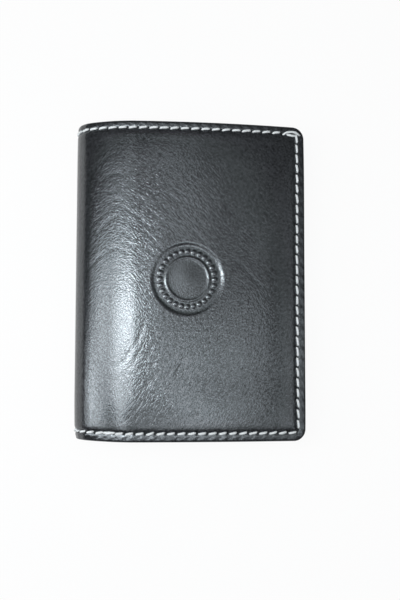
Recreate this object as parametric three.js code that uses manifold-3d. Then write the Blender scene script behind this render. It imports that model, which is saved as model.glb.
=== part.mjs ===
// A vertical folding wallet in black leather, closed and lying on its back cover.
// Millimetres. +X runs from the spine to the open edge, +Y to the top edge, +Z out of the front cover.
// The origin is the middle of the underside.
//
// The outer shell is one curved leather strip, parted at two fold lines into back cover, spine, front cover.
// The front half carries stepped card slots and a page with a clear window.
// The back half carries a coin pocket with bellows gussets, a flap and a snap fastener.

import * as THREE from "three";
import { mergeVertices } from "three/addons/utils/BufferGeometryUtils.js";
import Module from "manifold-3d";

const wasm = await Module();
wasm.setup();

// Driving dimensions of the closed wallet
const WIDTH = 82;
const HEIGHT = 112.5;
const THICKNESS = 24;
const SPINE_RADIUS = 10.7;
const SHOULDER_RADIUS = 36;
const COVER_RADIUS = 285;
const CORNER_RADIUS = 4.2;

// Thickness of the leathers, the cloth and the clear film, and the air between two layers
const COVER_LEATHER = 1.5;
const PANEL_LEATHER = 1.0;
const FLAP_LEATHER = 0.9;
const WALL_LEATHER = 0.8;
const SLOT_LEATHER = 0.7;
const GUSSET_LEATHER = 0.6;
const LINING_CLOTH = 0.4;
const CLEAR_FILM = 0.3;
const LAYER_GAP = 0.15;

// The two fold lines, as angles below and above the level of the spine's middle
const BACK_FOLD = THREE.MathUtils.degToRad(40);
const FRONT_FOLD = THREE.MathUtils.degToRad(55);
const FOLD_GAP = 0.3;

// Round blind stamp in the front cover
const STAMP = { x: -1.2, y: 0.2, radius: 12, depth: 0.3 };

// Inner pages and lining: how far they stay inside the edge of the shell
const LINING_INSET = 0.8;
const PAGE_LEFT = -30.5;
const PAGE_RIGHT = WIDTH / 2 - 2;
const PAGE_BOTTOM = -HEIGHT / 2 + 1.75;
const PAGE_TOP = HEIGHT / 2 - 5;
const PAGE_CORNER = 3;
const SMALL_CORNER = 0.5;

// Card slots: the first is the deepest, the last lies on top
const SLOT_COUNT = 3;
const SLOT_LEFT = -20;
const SLOT_HEIGHT = 74;
const SLOT_STEP = 10;
const THUMB_NOTCH = { halfWidth: 9, depth: 4.5 };

// Page with the clear window
const WINDOW_PAGE = { hinge: -26.15, flatFrom: -21, left: -19, right: 37, halfHeight: 50 };
const WINDOW_BORDER = 5.5;
const FILM_OVERLAP = 3;
const PAGE_CLEARANCE = 0.3;

// Coin pocket and its flap
const POCKET = { left: -25, right: 29, foot: -53.5, rampFrom: -50, rampTo: -44, mouth: 18, depth: 5 };
const GUSSET_FOLD = 4.5;
const FLAP = { left: -20, right: 24, hinge: 25.6, root: 32, tip: -10, tipRadius: 11 };
const FLAP_OFF_WALL = 2.3;

// Snap fastener: cap and socket on the flap, stud and rivet on the pocket's wall
const SNAP = { x: 2, y: -1.5, postRadius: 1, fit: 0.15, sides: 32 };
const CAP = { radius: 5.5, rim: 0.2, dome: 0.9, rings: 4 };
const SOCKET = { radius: 4.6, plate: 0.4, chamfer: 0.3 };
const STUD = { radius: 4.2, flange: 0.4, height: 1.5, roof: 0.5 };
const STUD_HEAD = { radius: 1.9, at: 1.1, neckRadius: 1.6, neckAt: 0.7 };
const RIVET = { radius: 3.7, flange: 0.35 };

const CURVE_STEPS = 14;
const ARC_STEPS = 6;
const CUT_MARGIN = 2;
const QUARTER = Math.PI / 2;

// Side view of the shell: the spine's circle runs into a shoulder arc, and that into the wide cover arc.
const SPINE = new THREE.Vector2(-WIDTH / 2 + SPINE_RADIUS, SPINE_RADIUS);
const SHOULDER_TURN = Math.acos(
  (SPINE_RADIUS + SHOULDER_RADIUS - THICKNESS) / (SHOULDER_RADIUS - SPINE_RADIUS),
);
const CREST_X = SPINE.x + (SHOULDER_RADIUS - SPINE_RADIUS) * Math.sin(SHOULDER_TURN);
const SHOULDER_ANGLE = QUARTER + SHOULDER_TURN;
const FRONT_FOLD_ANGLE = Math.PI - FRONT_FOLD;
const BACK_FOLD_ANGLE = Math.PI + BACK_FOLD;
const FOLD_HALF_GAP = FOLD_GAP / SPINE_RADIUS / 2;

// Levels of the flat layers of the back half, from the underside up
const LINING_DEPTH = COVER_LEATHER + LAYER_GAP;
const PAGE_DEPTH = LINING_DEPTH + LINING_CLOTH + LAYER_GAP;
const PAGE_FACE = PAGE_DEPTH + PANEL_LEATHER;
const ON_PAGE = PAGE_FACE + LAYER_GAP;
const WALL_LEVEL = PAGE_FACE + POCKET.depth;
const WALL_FACE = WALL_LEVEL + WALL_LEATHER;
const FLAP_LEVEL = WALL_FACE + FLAP_OFF_WALL;
const FLAP_FACE = FLAP_LEVEL + FLAP_LEATHER;

// Depths of the curved layers of the front half, from the outside of the front cover in
const SLOT_PITCH = SLOT_LEATHER + LAYER_GAP;
const WINDOW_PANEL_DEPTH = PAGE_FACE + SLOT_COUNT * SLOT_PITCH + PAGE_CLEARANCE;
const FILM_DEPTH = WINDOW_PANEL_DEPTH + SLOT_LEATHER + LAYER_GAP;
const FRAME_DEPTH = FILM_DEPTH + CLEAR_FILM + LAYER_GAP;

const BLACK_LEATHER = { color: 0x1b1c1f, roughness: 0.42, metalness: 0 };
const INNER_LEATHER = { color: 0x202124, roughness: 0.55, metalness: 0 };
const CLOTH = { color: 0x26272b, roughness: 0.9, metalness: 0 };
const FILM = { color: 0xe8ecee, roughness: 0.08, metalness: 0, transparent: true, opacity: 0.35 };
const NICKEL = { color: 0xb9bbbd, roughness: 0.28, metalness: 1 };

// Solids and booleans

function solidOf(geometry) {
  const bare = geometry.clone();
  bare.deleteAttribute("normal");
  bare.deleteAttribute("uv");
  const merged = mergeVertices(bare);
  const vertProperties = merged.attributes.position.array;
  const triVerts = new Uint32Array(merged.index.array);
  return new wasm.Manifold(new wasm.Mesh({ numProp: 3, vertProperties, triVerts }));
}

function geometryOf(solid) {
  const { vertProperties, triVerts } = solid.getMesh();
  const geometry = new THREE.BufferGeometry();
  geometry.setAttribute("position", new THREE.BufferAttribute(vertProperties, 3));
  geometry.setIndex(new THREE.BufferAttribute(triVerts, 1));
  geometry.computeVertexNormals();
  return geometry;
}

function extrude(shape, depth) {
  return new THREE.ExtrudeGeometry(shape, { depth, bevelEnabled: false, curveSegments: ARC_STEPS });
}

// An outline drawn in plan (x, y), carried up from one level to another.
function prism(outline, fromZ, toZ) {
  return solidOf(extrude(outline, toZ - fromZ).translate(0, 0, fromZ));
}

// A plan outline that reaches through the whole thickness, to cut or trim with.
function cutter(outline) {
  return prism(outline, -CUT_MARGIN, THICKNESS + CUT_MARGIN);
}

// A profile drawn in side view (x, z), carried along the whole height of the wallet.
function sweepAlongY(profile) {
  const length = HEIGHT + 2 * CUT_MARGIN;
  return solidOf(extrude(profile, length).rotateX(QUARTER).translate(0, length / 2, 0));
}

// A profile drawn in end view (y, z), carried from one x to another.
function sweepAlongX(profile, fromX, toX) {
  const bar = extrude(profile, toX - fromX).rotateZ(QUARTER).rotateY(QUARTER);
  return solidOf(bar.translate(fromX, 0, 0));
}

// A profile of (radius, z) points turned about the snap's upright axis.
function turnOnSnap(profile) {
  const lathe = new THREE.LatheGeometry(profile, SNAP.sides);
  return solidOf(lathe.rotateX(QUARTER).translate(SNAP.x, SNAP.y, 0));
}

function snapHole(radius, fromZ, toZ) {
  const post = new THREE.CylinderGeometry(radius, radius, toZ - fromZ, SNAP.sides);
  return solidOf(post.rotateX(QUARTER).translate(SNAP.x, SNAP.y, (fromZ + toZ) / 2));
}

// Outlines and profiles

function roundedOutline({ left, right, bottom, top, leftRadius = SMALL_CORNER, rightRadius = SMALL_CORNER }) {
  const outline = new THREE.Shape();
  outline.absarc(right - rightRadius, bottom + rightRadius, rightRadius, -QUARTER, 0, false);
  outline.absarc(right - rightRadius, top - rightRadius, rightRadius, 0, QUARTER, false);
  outline.absarc(left + leftRadius, top - leftRadius, leftRadius, QUARTER, 2 * QUARTER, false);
  outline.absarc(left + leftRadius, bottom + leftRadius, leftRadius, 2 * QUARTER, 3 * QUARTER, false);
  return outline;
}

// The top edge of the front card slot dips in a half-moon for the thumb.
function notchedOutline({ left, right, bottom, top }) {
  const { halfWidth, depth } = THUMB_NOTCH;
  const middle = (left + right) / 2;
  const outline = new THREE.Shape();
  outline.moveTo(left, bottom);
  outline.absarc(right - PAGE_CORNER, bottom + PAGE_CORNER, PAGE_CORNER, -QUARTER, 0, false);
  outline.lineTo(right, top);
  outline.lineTo(middle + halfWidth, top);
  outline.quadraticCurveTo(middle, top - 2 * depth, middle - halfWidth, top);
  outline.lineTo(left, top);
  return outline;
}

// A sheet of even thickness whose middle follows a smooth path of lines, arcs and curves.
function ribbon(path, thickness) {
  const stations = path.curves.flatMap((curve, order) => {
    const steps = curve.isLineCurve ? 1 : CURVE_STEPS;
    const joined = order > 0 ? 1 : 0;
    const shares = Array.from({ length: steps + 1 - joined }, (_, i) => (i + joined) / steps);
    return shares.map((t) => ({ at: curve.getPoint(t), along: curve.getTangent(t) }));
  });
  const side = (half) =>
    stations.map(({ at, along }) => new THREE.Vector2(at.x - half * along.y, at.y + half * along.x));
  return new THREE.Shape([...side(-thickness / 2), ...side(thickness / 2).reverse()]);
}

// Height at x of the surface that lies a given depth under the outside of the front cover.
function frontHeight(x, depth) {
  const radius = x < CREST_X ? SHOULDER_RADIUS : COVER_RADIUS;
  return THICKNESS - radius + Math.sqrt((radius - depth) ** 2 - (x - CREST_X) ** 2);
}

// A layer of the front half: a plan outline, curved like the cover and lying depthAt(x) under its outside.
function curvedLayer(outline, depthAt, thickness) {
  const { min, max } = new THREE.Box2().setFromPoints(outline.getPoints());
  const side = (extra) =>
    Array.from({ length: CURVE_STEPS + 1 }, (_, i) => {
      const x = THREE.MathUtils.lerp(min.x - LAYER_GAP, max.x + LAYER_GAP, i / CURVE_STEPS);
      return new THREE.Vector2(x, frontHeight(x, depthAt(x) + extra));
    });
  const profile = new THREE.Shape([...side(thickness), ...side(0).reverse()]);
  return cutter(outline).intersect(sweepAlongY(profile));
}

// Outer shell and its lining

function cutToShell(profile, inset) {
  const outline = roundedOutline({
    left: -WIDTH / 2 - CUT_MARGIN,
    right: WIDTH / 2 - inset,
    bottom: -HEIGHT / 2 + inset,
    top: HEIGHT / 2 - inset,
    rightRadius: CORNER_RADIUS - inset,
  });
  return cutter(outline).intersect(sweepAlongY(profile));
}

function frontShell(depth, thickness, inset) {
  const edge = Math.acos((WIDTH / 2 + CUT_MARGIN - CREST_X) / COVER_RADIUS);
  const fold = FRONT_FOLD_ANGLE - FOLD_HALF_GAP;
  const inner = depth + thickness;
  const coverZ = THICKNESS - COVER_RADIUS;
  const shoulderZ = THICKNESS - SHOULDER_RADIUS;
  const profile = new THREE.Shape();
  profile.absarc(CREST_X, coverZ, COVER_RADIUS - depth, edge, QUARTER, false);
  profile.absarc(CREST_X, shoulderZ, SHOULDER_RADIUS - depth, QUARTER, SHOULDER_ANGLE, false);
  profile.absarc(SPINE.x, SPINE.y, SPINE_RADIUS - depth, SHOULDER_ANGLE, fold, false);
  profile.absarc(SPINE.x, SPINE.y, SPINE_RADIUS - inner, fold, SHOULDER_ANGLE, true);
  profile.absarc(CREST_X, shoulderZ, SHOULDER_RADIUS - inner, SHOULDER_ANGLE, QUARTER, true);
  profile.absarc(CREST_X, coverZ, COVER_RADIUS - inner, QUARTER, edge, true);
  return cutToShell(profile, inset);
}

function spineShell(depth, thickness, inset) {
  const from = FRONT_FOLD_ANGLE + FOLD_HALF_GAP;
  const to = BACK_FOLD_ANGLE - FOLD_HALF_GAP;
  const profile = new THREE.Shape();
  profile.absarc(SPINE.x, SPINE.y, SPINE_RADIUS - depth, from, to, false);
  profile.absarc(SPINE.x, SPINE.y, SPINE_RADIUS - depth - thickness, to, from, true);
  return cutToShell(profile, inset);
}

function backShell(depth, thickness, inset) {
  const fold = BACK_FOLD_ANGLE + FOLD_HALF_GAP;
  const under = 3 * QUARTER;
  const profile = new THREE.Shape();
  profile.absarc(SPINE.x, SPINE.y, SPINE_RADIUS - depth, fold, under, false);
  profile.lineTo(WIDTH / 2 + CUT_MARGIN, depth);
  profile.lineTo(WIDTH / 2 + CUT_MARGIN, depth + thickness);
  profile.absarc(SPINE.x, SPINE.y, SPINE_RADIUS - depth - thickness, under, fold, true);
  return cutToShell(profile, inset);
}

// The stamp is pressed in to an even depth, so its floor keeps the curve of the cover.
function frontCover() {
  const round = new THREE.Shape();
  round.absarc(STAMP.x, STAMP.y, STAMP.radius, 0, 2 * QUARTER, false);
  round.absarc(STAMP.x, STAMP.y, STAMP.radius, 2 * QUARTER, 4 * QUARTER, false);
  const pressed = curvedLayer(round, () => -CUT_MARGIN, CUT_MARGIN + STAMP.depth);
  return frontShell(0, COVER_LEATHER, 0).subtract(pressed);
}

// Front half: card page, card slots and the page with the clear window

function pageOutline() {
  return roundedOutline({
    left: PAGE_LEFT,
    right: PAGE_RIGHT,
    bottom: PAGE_BOTTOM,
    top: PAGE_TOP,
    rightRadius: PAGE_CORNER,
  });
}

function cardSlot(number) {
  const bottom = PAGE_BOTTOM + (SLOT_COUNT - number) * SLOT_STEP;
  const box = { left: SLOT_LEFT, right: PAGE_RIGHT, bottom, top: bottom + SLOT_HEIGHT };
  const outline = number === SLOT_COUNT ? notchedOutline(box) : roundedOutline(box);
  const depth = ON_PAGE + (number - 1) * SLOT_PITCH;
  return curvedLayer(outline, () => depth, SLOT_LEATHER);
}

function windowPageOutline(left, right, rightRadius) {
  const { halfHeight } = WINDOW_PAGE;
  return roundedOutline({ left, right, bottom: -halfHeight, top: halfHeight, rightRadius });
}

function windowHingeStrip() {
  const outline = windowPageOutline(PAGE_LEFT, WINDOW_PAGE.hinge - LAYER_GAP, SMALL_CORNER);
  return curvedLayer(outline, () => ON_PAGE, SLOT_LEATHER);
}

// The leather of the window page steps from the hinge strip's level down over the edge of the slots.
function windowPanel() {
  const { hinge, flatFrom, right } = WINDOW_PAGE;
  const drop = WINDOW_PANEL_DEPTH - ON_PAGE;
  const depthAt = (x) => ON_PAGE + drop * THREE.MathUtils.smoothstep(x, hinge, flatFrom);
  return curvedLayer(windowPageOutline(hinge + LAYER_GAP, right, PAGE_CORNER), depthAt, SLOT_LEATHER);
}

function windowOpening(border) {
  const { left, right, halfHeight } = WINDOW_PAGE;
  return roundedOutline({
    left: left + border,
    right: right - border,
    bottom: -halfHeight + border,
    top: halfHeight - border,
    leftRadius: PAGE_CORNER,
    rightRadius: PAGE_CORNER,
  });
}

function windowFilm() {
  return curvedLayer(windowOpening(WINDOW_BORDER - FILM_OVERLAP), () => FILM_DEPTH, CLEAR_FILM);
}

function windowFrame() {
  const outline = windowPageOutline(WINDOW_PAGE.left, WINDOW_PAGE.right, PAGE_CORNER);
  const sheet = curvedLayer(outline, () => FRAME_DEPTH, SLOT_LEATHER);
  return sheet.subtract(cutter(windowOpening(WINDOW_BORDER)));
}

// Back half: pocket wall, gussets and flap

// The pocket's wall is sewn to the page by its foot, ramps up in a soft S and runs level to the mouth.
function coinPocketWall() {
  const { left, right, foot, rampFrom, rampTo, mouth } = POCKET;
  const low = ON_PAGE + WALL_LEATHER / 2;
  const high = WALL_LEVEL + WALL_LEATHER / 2;
  const path = new THREE.Path();
  path.moveTo(foot, low);
  path.lineTo(rampFrom, low);
  path.bezierCurveTo((rampFrom + rampTo) / 2, low, (rampFrom + rampTo) / 2, high, rampTo, high);
  path.lineTo(mouth, high);
  const wall = sweepAlongX(ribbon(path, WALL_LEATHER), left, right);
  return wall.subtract(snapHole(SNAP.postRadius + SNAP.fit, PAGE_FACE, FLAP_LEVEL));
}

// Each side gusset is a soft V that folds into the pocket.
function coinGusset(edge, inward) {
  const from = ON_PAGE + GUSSET_LEATHER / 2;
  const to = WALL_LEVEL - LAYER_GAP - GUSSET_LEATHER / 2;
  const side = edge + inward * GUSSET_LEATHER;
  const path = new THREE.Path();
  path.moveTo(side, from);
  path.quadraticCurveTo(edge + inward * 2 * GUSSET_FOLD, (from + to) / 2, side, to);
  const { left, right, rampTo, mouth } = POCKET;
  const outline = roundedOutline({ left, right, bottom: rampTo, top: mouth });
  return cutter(outline).intersect(sweepAlongY(ribbon(path, GUSSET_LEATHER)));
}

function flapOutline() {
  const { left, right, hinge, tip, tipRadius } = FLAP;
  const outline = new THREE.Shape();
  outline.moveTo(left, hinge);
  outline.absarc(left + tipRadius, tip + tipRadius, tipRadius, 2 * QUARTER, 3 * QUARTER, false);
  outline.absarc(right - tipRadius, tip + tipRadius, tipRadius, -QUARTER, 0, false);
  outline.lineTo(right, hinge);
  return outline;
}

// The flap stands up from the page at its hinge, rolls over the pocket's mouth and lies above the wall.
function coinFlap() {
  const level = FLAP_LEVEL + FLAP_LEATHER / 2;
  const hingeLevel = ON_PAGE + FLAP_LEATHER + LAYER_GAP;
  const roll = level - hingeLevel;
  const back = FLAP.hinge - LAYER_GAP - FLAP_LEATHER / 2;
  const path = new THREE.Path();
  path.absarc(back - roll, hingeLevel, roll, 0, QUARTER, false);
  path.lineTo(FLAP.tip, level);
  const sheet = sweepAlongX(ribbon(path, FLAP_LEATHER), FLAP.left, FLAP.right);
  const hole = snapHole(SNAP.postRadius + SNAP.fit, FLAP_LEVEL - LAYER_GAP, FLAP_FACE + LAYER_GAP);
  return cutter(flapOutline()).intersect(sheet).subtract(hole);
}

function coinFlapStrip() {
  const { left, right, hinge, root } = FLAP;
  const outline = roundedOutline({ left, right, bottom: hinge + LAYER_GAP, top: root });
  return prism(outline, ON_PAGE, ON_PAGE + FLAP_LEATHER);
}

// Snap fastener

const point = (radius, z) => new THREE.Vector2(radius, z);
const ON_WALL = WALL_FACE + LAYER_GAP;
const ON_FLAP = FLAP_FACE + LAYER_GAP;
const SOCKET_TOP = FLAP_LEVEL - LAYER_GAP;
const POST_END = SOCKET_TOP - SOCKET.plate;

function snapCap() {
  const dome = Array.from({ length: CAP.rings + 1 }, (_, i) => {
    const share = 1 - i / CAP.rings;
    return point(CAP.radius * share, ON_FLAP + CAP.rim + CAP.dome * (1 - share ** 2));
  });
  return turnOnSnap([
    point(0, POST_END),
    point(SNAP.postRadius, POST_END),
    point(SNAP.postRadius, ON_FLAP),
    point(CAP.radius, ON_FLAP),
    ...dome,
  ]);
}

function snapSocket() {
  const bottom = ON_WALL + STUD.flange + SNAP.fit;
  const bore = SNAP.postRadius + SNAP.fit;
  const recess = STUD_HEAD.radius + SNAP.fit;
  return turnOnSnap([
    point(bore, POST_END),
    point(recess, POST_END),
    point(recess, bottom),
    point(SOCKET.radius - SOCKET.chamfer, bottom),
    point(SOCKET.radius, bottom + SOCKET.chamfer),
    point(SOCKET.radius, SOCKET_TOP),
    point(bore, SOCKET_TOP),
    point(bore, POST_END),
  ]);
}

function snapStud() {
  const bore = SNAP.postRadius + SNAP.fit;
  const roof = ON_WALL + STUD.height - STUD.roof;
  return turnOnSnap([
    point(0, roof),
    point(bore, roof),
    point(bore, ON_WALL),
    point(STUD.radius, ON_WALL),
    point(STUD.radius, ON_WALL + STUD.flange),
    point(STUD_HEAD.neckRadius, ON_WALL + STUD.flange),
    point(STUD_HEAD.neckRadius, ON_WALL + STUD_HEAD.neckAt),
    point(STUD_HEAD.radius, ON_WALL + STUD_HEAD.at),
    point(STUD_HEAD.neckRadius, ON_WALL + STUD.height),
    point(0, ON_WALL + STUD.height),
  ]);
}

function snapRivet() {
  const seat = WALL_LEVEL - LAYER_GAP;
  const end = ON_WALL + STUD.height - STUD.roof - SNAP.fit;
  return turnOnSnap([
    point(0, seat - RIVET.flange),
    point(RIVET.radius, seat - RIVET.flange),
    point(RIVET.radius, seat),
    point(SNAP.postRadius, seat),
    point(SNAP.postRadius, end),
    point(0, end),
  ]);
}

// Assembly

function piece(name, solid, finish) {
  const mesh = new THREE.Mesh(geometryOf(solid), new THREE.MeshStandardMaterial(finish));
  mesh.name = name;
  return mesh;
}

function group(...pieces) {
  return new THREE.Group().add(...pieces);
}

const backHalf = group(
  piece("back_cover", backShell(0, COVER_LEATHER, 0), BLACK_LEATHER),
  piece("back_lining", backShell(LINING_DEPTH, LINING_CLOTH, LINING_INSET), CLOTH),
  piece("coin_page", prism(pageOutline(), PAGE_DEPTH, PAGE_FACE), INNER_LEATHER),
  piece("coin_pocket_wall", coinPocketWall(), INNER_LEATHER),
  piece("coin_gusset_left", coinGusset(POCKET.left, 1), INNER_LEATHER),
  piece("coin_gusset_right", coinGusset(POCKET.right, -1), INNER_LEATHER),
  piece("coin_flap_strip", coinFlapStrip(), INNER_LEATHER),
  piece("snap_stud", snapStud(), NICKEL),
  piece("snap_rivet", snapRivet(), NICKEL),
);

const spine = group(
  piece("spine_cover", spineShell(0, COVER_LEATHER, 0), BLACK_LEATHER),
  piece("spine_lining", spineShell(LINING_DEPTH, LINING_CLOTH, LINING_INSET), CLOTH),
);

const cardSlots = Array.from({ length: SLOT_COUNT }, (_, i) =>
  piece(`card_slot_${i + 1}`, cardSlot(i + 1), INNER_LEATHER),
);

const frontHalf = group(
  piece("front_cover", frontCover(), BLACK_LEATHER),
  piece("front_lining", frontShell(LINING_DEPTH, LINING_CLOTH, LINING_INSET), CLOTH),
  piece("card_page", curvedLayer(pageOutline(), () => PAGE_DEPTH, PANEL_LEATHER), INNER_LEATHER),
  ...cardSlots,
  piece("window_hinge_strip", windowHingeStrip(), INNER_LEATHER),
);

const windowPage = group(
  piece("window_panel", windowPanel(), INNER_LEATHER),
  piece("window_film", windowFilm(), FILM),
  piece("window_frame", windowFrame(), INNER_LEATHER),
);

const coinFlapGroup = group(
  piece("coin_flap", coinFlap(), INNER_LEATHER),
  piece("snap_cap", snapCap(), NICKEL),
  piece("snap_socket", snapSocket(), NICKEL),
);

const wallet = group(backHalf, spine, frontHalf, windowPage, coinFlapGroup);

export default wallet;
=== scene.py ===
# %% [markdown]
# # A black leather wallet, closed
# The wallet lies on its back cover. X runs from the spine to the open edge, Y up the cover and Z out of the front
# cover. The CAD part gives every size and every joint, so the lesson starts by loading it as a fixed frame, and most
# inner pieces made here ride on one of its bodies. Lengths are worked out in millimetres and written to the meshes in
# metres.

# %% Load the measured frame
from math import radians

import bpy
import numpy as np
from mathutils import Matrix, Vector


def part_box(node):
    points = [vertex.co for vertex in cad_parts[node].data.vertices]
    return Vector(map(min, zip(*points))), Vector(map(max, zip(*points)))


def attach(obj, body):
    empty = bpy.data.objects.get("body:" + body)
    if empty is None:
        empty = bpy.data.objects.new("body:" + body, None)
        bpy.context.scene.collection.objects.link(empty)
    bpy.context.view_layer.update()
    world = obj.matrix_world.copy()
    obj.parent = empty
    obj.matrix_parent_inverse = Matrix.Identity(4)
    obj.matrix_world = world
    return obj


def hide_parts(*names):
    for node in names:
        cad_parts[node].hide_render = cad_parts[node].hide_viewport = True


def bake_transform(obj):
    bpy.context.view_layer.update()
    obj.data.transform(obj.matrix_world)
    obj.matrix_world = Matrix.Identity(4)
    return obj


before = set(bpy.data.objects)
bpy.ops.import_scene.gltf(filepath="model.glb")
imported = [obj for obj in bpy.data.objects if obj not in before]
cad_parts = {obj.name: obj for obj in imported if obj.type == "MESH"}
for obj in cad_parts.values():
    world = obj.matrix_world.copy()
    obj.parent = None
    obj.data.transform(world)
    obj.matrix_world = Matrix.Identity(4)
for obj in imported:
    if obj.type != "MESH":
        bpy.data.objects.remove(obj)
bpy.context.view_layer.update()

MM = 0.001


def node_box(*nodes):
    """Lowest and highest corner of some CAD nodes together, in millimetres."""
    boxes = np.array([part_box(node) for node in nodes]) / MM
    return boxes[:, 0].min(0), boxes[:, 1].max(0)


shell_low, shell_high = node_box("back_cover", "spine_cover", "front_cover")
LEFT, RIGHT = shell_low[0], shell_high[0]
HALF_HEIGHT = shell_high[1]
THICKNESS = shell_high[2]
print("closed wallet:", RIGHT - LEFT, "x", 2 * HALF_HEIGHT, "x", THICKNESS, "mm")

# %% [markdown]
# ## The camera
# The photograph looks almost straight down on the front cover, a little from the bottom edge. The distance, tilt and
# focal length were found by fitting the outline of the cover, so the render can be laid over the photograph. The camera
# is placed by its aim point: a turn about that point, then a step back along its own axis.

# %% Place the camera
PHOTO_HEIGHT = 600
SENSOR = 36.0
FOCAL_PIXELS = 902.4
CAMERA_AIM = (3.318, -6.707, 18.0)
CAMERA_DISTANCE = 319.25
CAMERA_YAW, CAMERA_TILT, CAMERA_ROLL = -3.075, 4.6275, 0.1138

camera = bpy.data.objects.new("camera", bpy.data.cameras.new("camera"))
camera.data.sensor_width = SENSOR
camera.data.lens = FOCAL_PIXELS / PHOTO_HEIGHT * SENSOR
camera.matrix_world = (
    Matrix.Translation([MM * place for place in CAMERA_AIM])
    @ Matrix.Rotation(radians(CAMERA_YAW), 4, "Y")
    @ Matrix.Rotation(radians(CAMERA_TILT), 4, "X")
    @ Matrix.Rotation(radians(CAMERA_ROLL), 4, "Z")
    @ Matrix.Translation((0, 0, CAMERA_DISTANCE * MM))
)
bpy.context.collection.objects.link(camera)
bpy.context.scene.camera = camera
bpy.context.scene.view_settings.view_transform = "Standard"
print("lens", round(camera.data.lens, 2), "mm")

# %% [markdown]
# ## From numbers to meshes
# Every leather piece is a sheet: an outer face, an inner face and a cut edge that is rubbed round. Both faces are grids
# of points, so numpy can work them out as whole arrays, and the edge is a half circle that joins the two borders. A
# Solidify modifier could give the thickness too, but this way the edge is truly round and the sheet is closed at once.

# %% Put points and faces into a mesh
def put_mesh(name, points, faces, marks):
    """A smooth object from points in millimetres. marks are the named vectors that its materials read."""
    mesh = bpy.data.meshes.new(name)
    mesh.from_pydata((points * MM).tolist(), [], faces)
    mesh.polygons.foreach_set("use_smooth", np.ones(len(faces), bool))
    for mark, values in marks.items():
        layer = mesh.attributes.new(mark, "FLOAT_VECTOR", "POINT")
        layer.data.foreach_set("vector", values.astype(np.float32).ravel())
    mesh.update()
    made = bpy.data.objects.new(name, mesh)
    bpy.context.collection.objects.link(made)
    print(name, len(faces), "faces")
    return made


def grid_faces(number):
    """The four corners of each cell of a grid of point numbers, turning left as seen from its front. Several grids of
    one size may come in one array."""
    low, high = number[..., :-1, :], number[..., 1:, :]
    corners = [low[..., :-1], low[..., 1:], high[..., 1:], high[..., :-1]]
    return np.stack(corners, -1).reshape(-1, 4).tolist()


def ringed(number):
    """The grid with its first column again after the last, so that its faces go all the way round."""
    return np.concatenate([number, number[..., :1]], -1)


# %% The border and the back of a sheet
def unit(vectors):
    """Vectors of length 1 along the last axis."""
    return vectors / np.linalg.norm(vectors, axis=-1, keepdims=True)


def border(number):
    """The point numbers round a grid: along the first row, up the last column, back and down."""
    return np.concatenate([number[0, :-1], number[:-1, -1], number[-1, :0:-1], number[:0:-1, 0]])


def straight_back(rows, cols, ring):
    """The faces of an inner face that is straight along its columns: one long face per column.

    Only the border has points, so the first and the last face take in all the points of their side."""
    low = ring[:cols]
    high = ring[cols + rows - 2 : 2 * cols + rows - 2][::-1]
    strips = np.stack([low[1:-2], high[1:-2], high[2:-1], low[2:-1]], -1).tolist()
    left_side = np.append(ring[2 * cols + rows - 3 :], ring[0])[::-1]
    right_side = ring[cols - 1 : cols + rows - 1][::-1]
    first = [*left_side.tolist(), int(high[1]), int(low[1])]
    last = [int(low[-2]), int(high[-2]), *right_side.tolist()]
    return [first, *strips, last]


# %% Close two faces into a sheet
EDGE_STEPS = 6
SHARP_ANGLE = radians(60)


def closed_sheet(name, outer, inner, marks, edge_round, open_start=False, plain_back=False):
    """A sheet between two grids of points, with a round edge.

    The edge is middle + (cos a) x half thickness + (sin a) x edge_round outwards, for a from 0 to a half turn.
    open_start leaves the first column cut square, where another sheet goes on, with sharp edges so that the shading
    runs on too. plain_back leaves out the points inside the inner face, which has to be straight along its columns."""
    across, along = outer[:, 1:] - outer[:, :-1], outer[1:] - outer[:-1]
    facing = np.cross(across[:-1], along[:, :-1]) * (outer - inner)[:-1, :-1]
    if facing.sum() < 0:
        outer, inner = outer[::-1], inner[::-1]
        marks = {mark: values[::-1] for mark, values in marks.items()}
    rows, cols = outer.shape[:2]
    number = np.arange(rows * cols).reshape(rows, cols)
    ring = border(number)
    outer, inner = outer.reshape(-1, 3), inner.reshape(-1, 3)
    middle, half = (outer[ring] + inner[ring]) / 2, (outer[ring] - inner[ring]) / 2
    direction = np.roll(middle, -1, 0) - np.roll(middle, 1, 0)
    outward = unit(np.cross(direction, half)) * edge_round
    if open_start:
        outward[2 * cols + rows - 3 :] = 0
        outward[0] = 0
    angle = np.linspace(0, np.pi, EDGE_STEPS + 1)[1:-1, None, None]
    edge = middle + np.cos(angle) * half + np.sin(angle) * outward
    if plain_back:
        back, back_ring = inner[ring], len(outer) + np.arange(len(ring))
        back_faces = straight_back(rows, cols, back_ring)
    else:
        back, back_ring = inner, len(outer) + ring
        back_faces = grid_faces(len(outer) + number[:, ::-1])
    edge_rings = len(outer) + len(back) + np.arange(edge[..., 0].size).reshape(edge.shape[:2])
    rings = ringed(np.vstack([back_ring, edge_rings[::-1], ring]))
    spread = {}
    for mark, values in marks.items():
        flat = values.reshape(-1, 3)
        behind = flat[ring] if plain_back else flat
        spread[mark] = np.vstack([flat, behind, np.tile(flat[ring], (EDGE_STEPS - 1, 1))])
    points = np.vstack([outer, back, edge.reshape(-1, 3)])
    made = put_mesh(name, points, grid_faces(number) + back_faces + grid_faces(rings), spread)
    if open_start:
        made.data.set_sharp_from_angle(angle=SHARP_ANGLE)
    return made


# %% [markdown]
# ## The folded hide
# The outside of the wallet is one hide that runs round the spine. Cut across, it is a round spine, a flatter shoulder
# and the nearly flat front cover, and a flat back cover below. All of it is measured by s, the way along the outside
# from the middle of the spine: above 0 on the front, below 0 on the back. The lining and the pages follow the same
# lines, a little deeper.

# %% The arcs of the fold
SPINE_RADIUS, SHOULDER_RADIUS, COVER_RADIUS = 10.7, 36.0, 285.0
QUARTER = np.pi / 2

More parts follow.
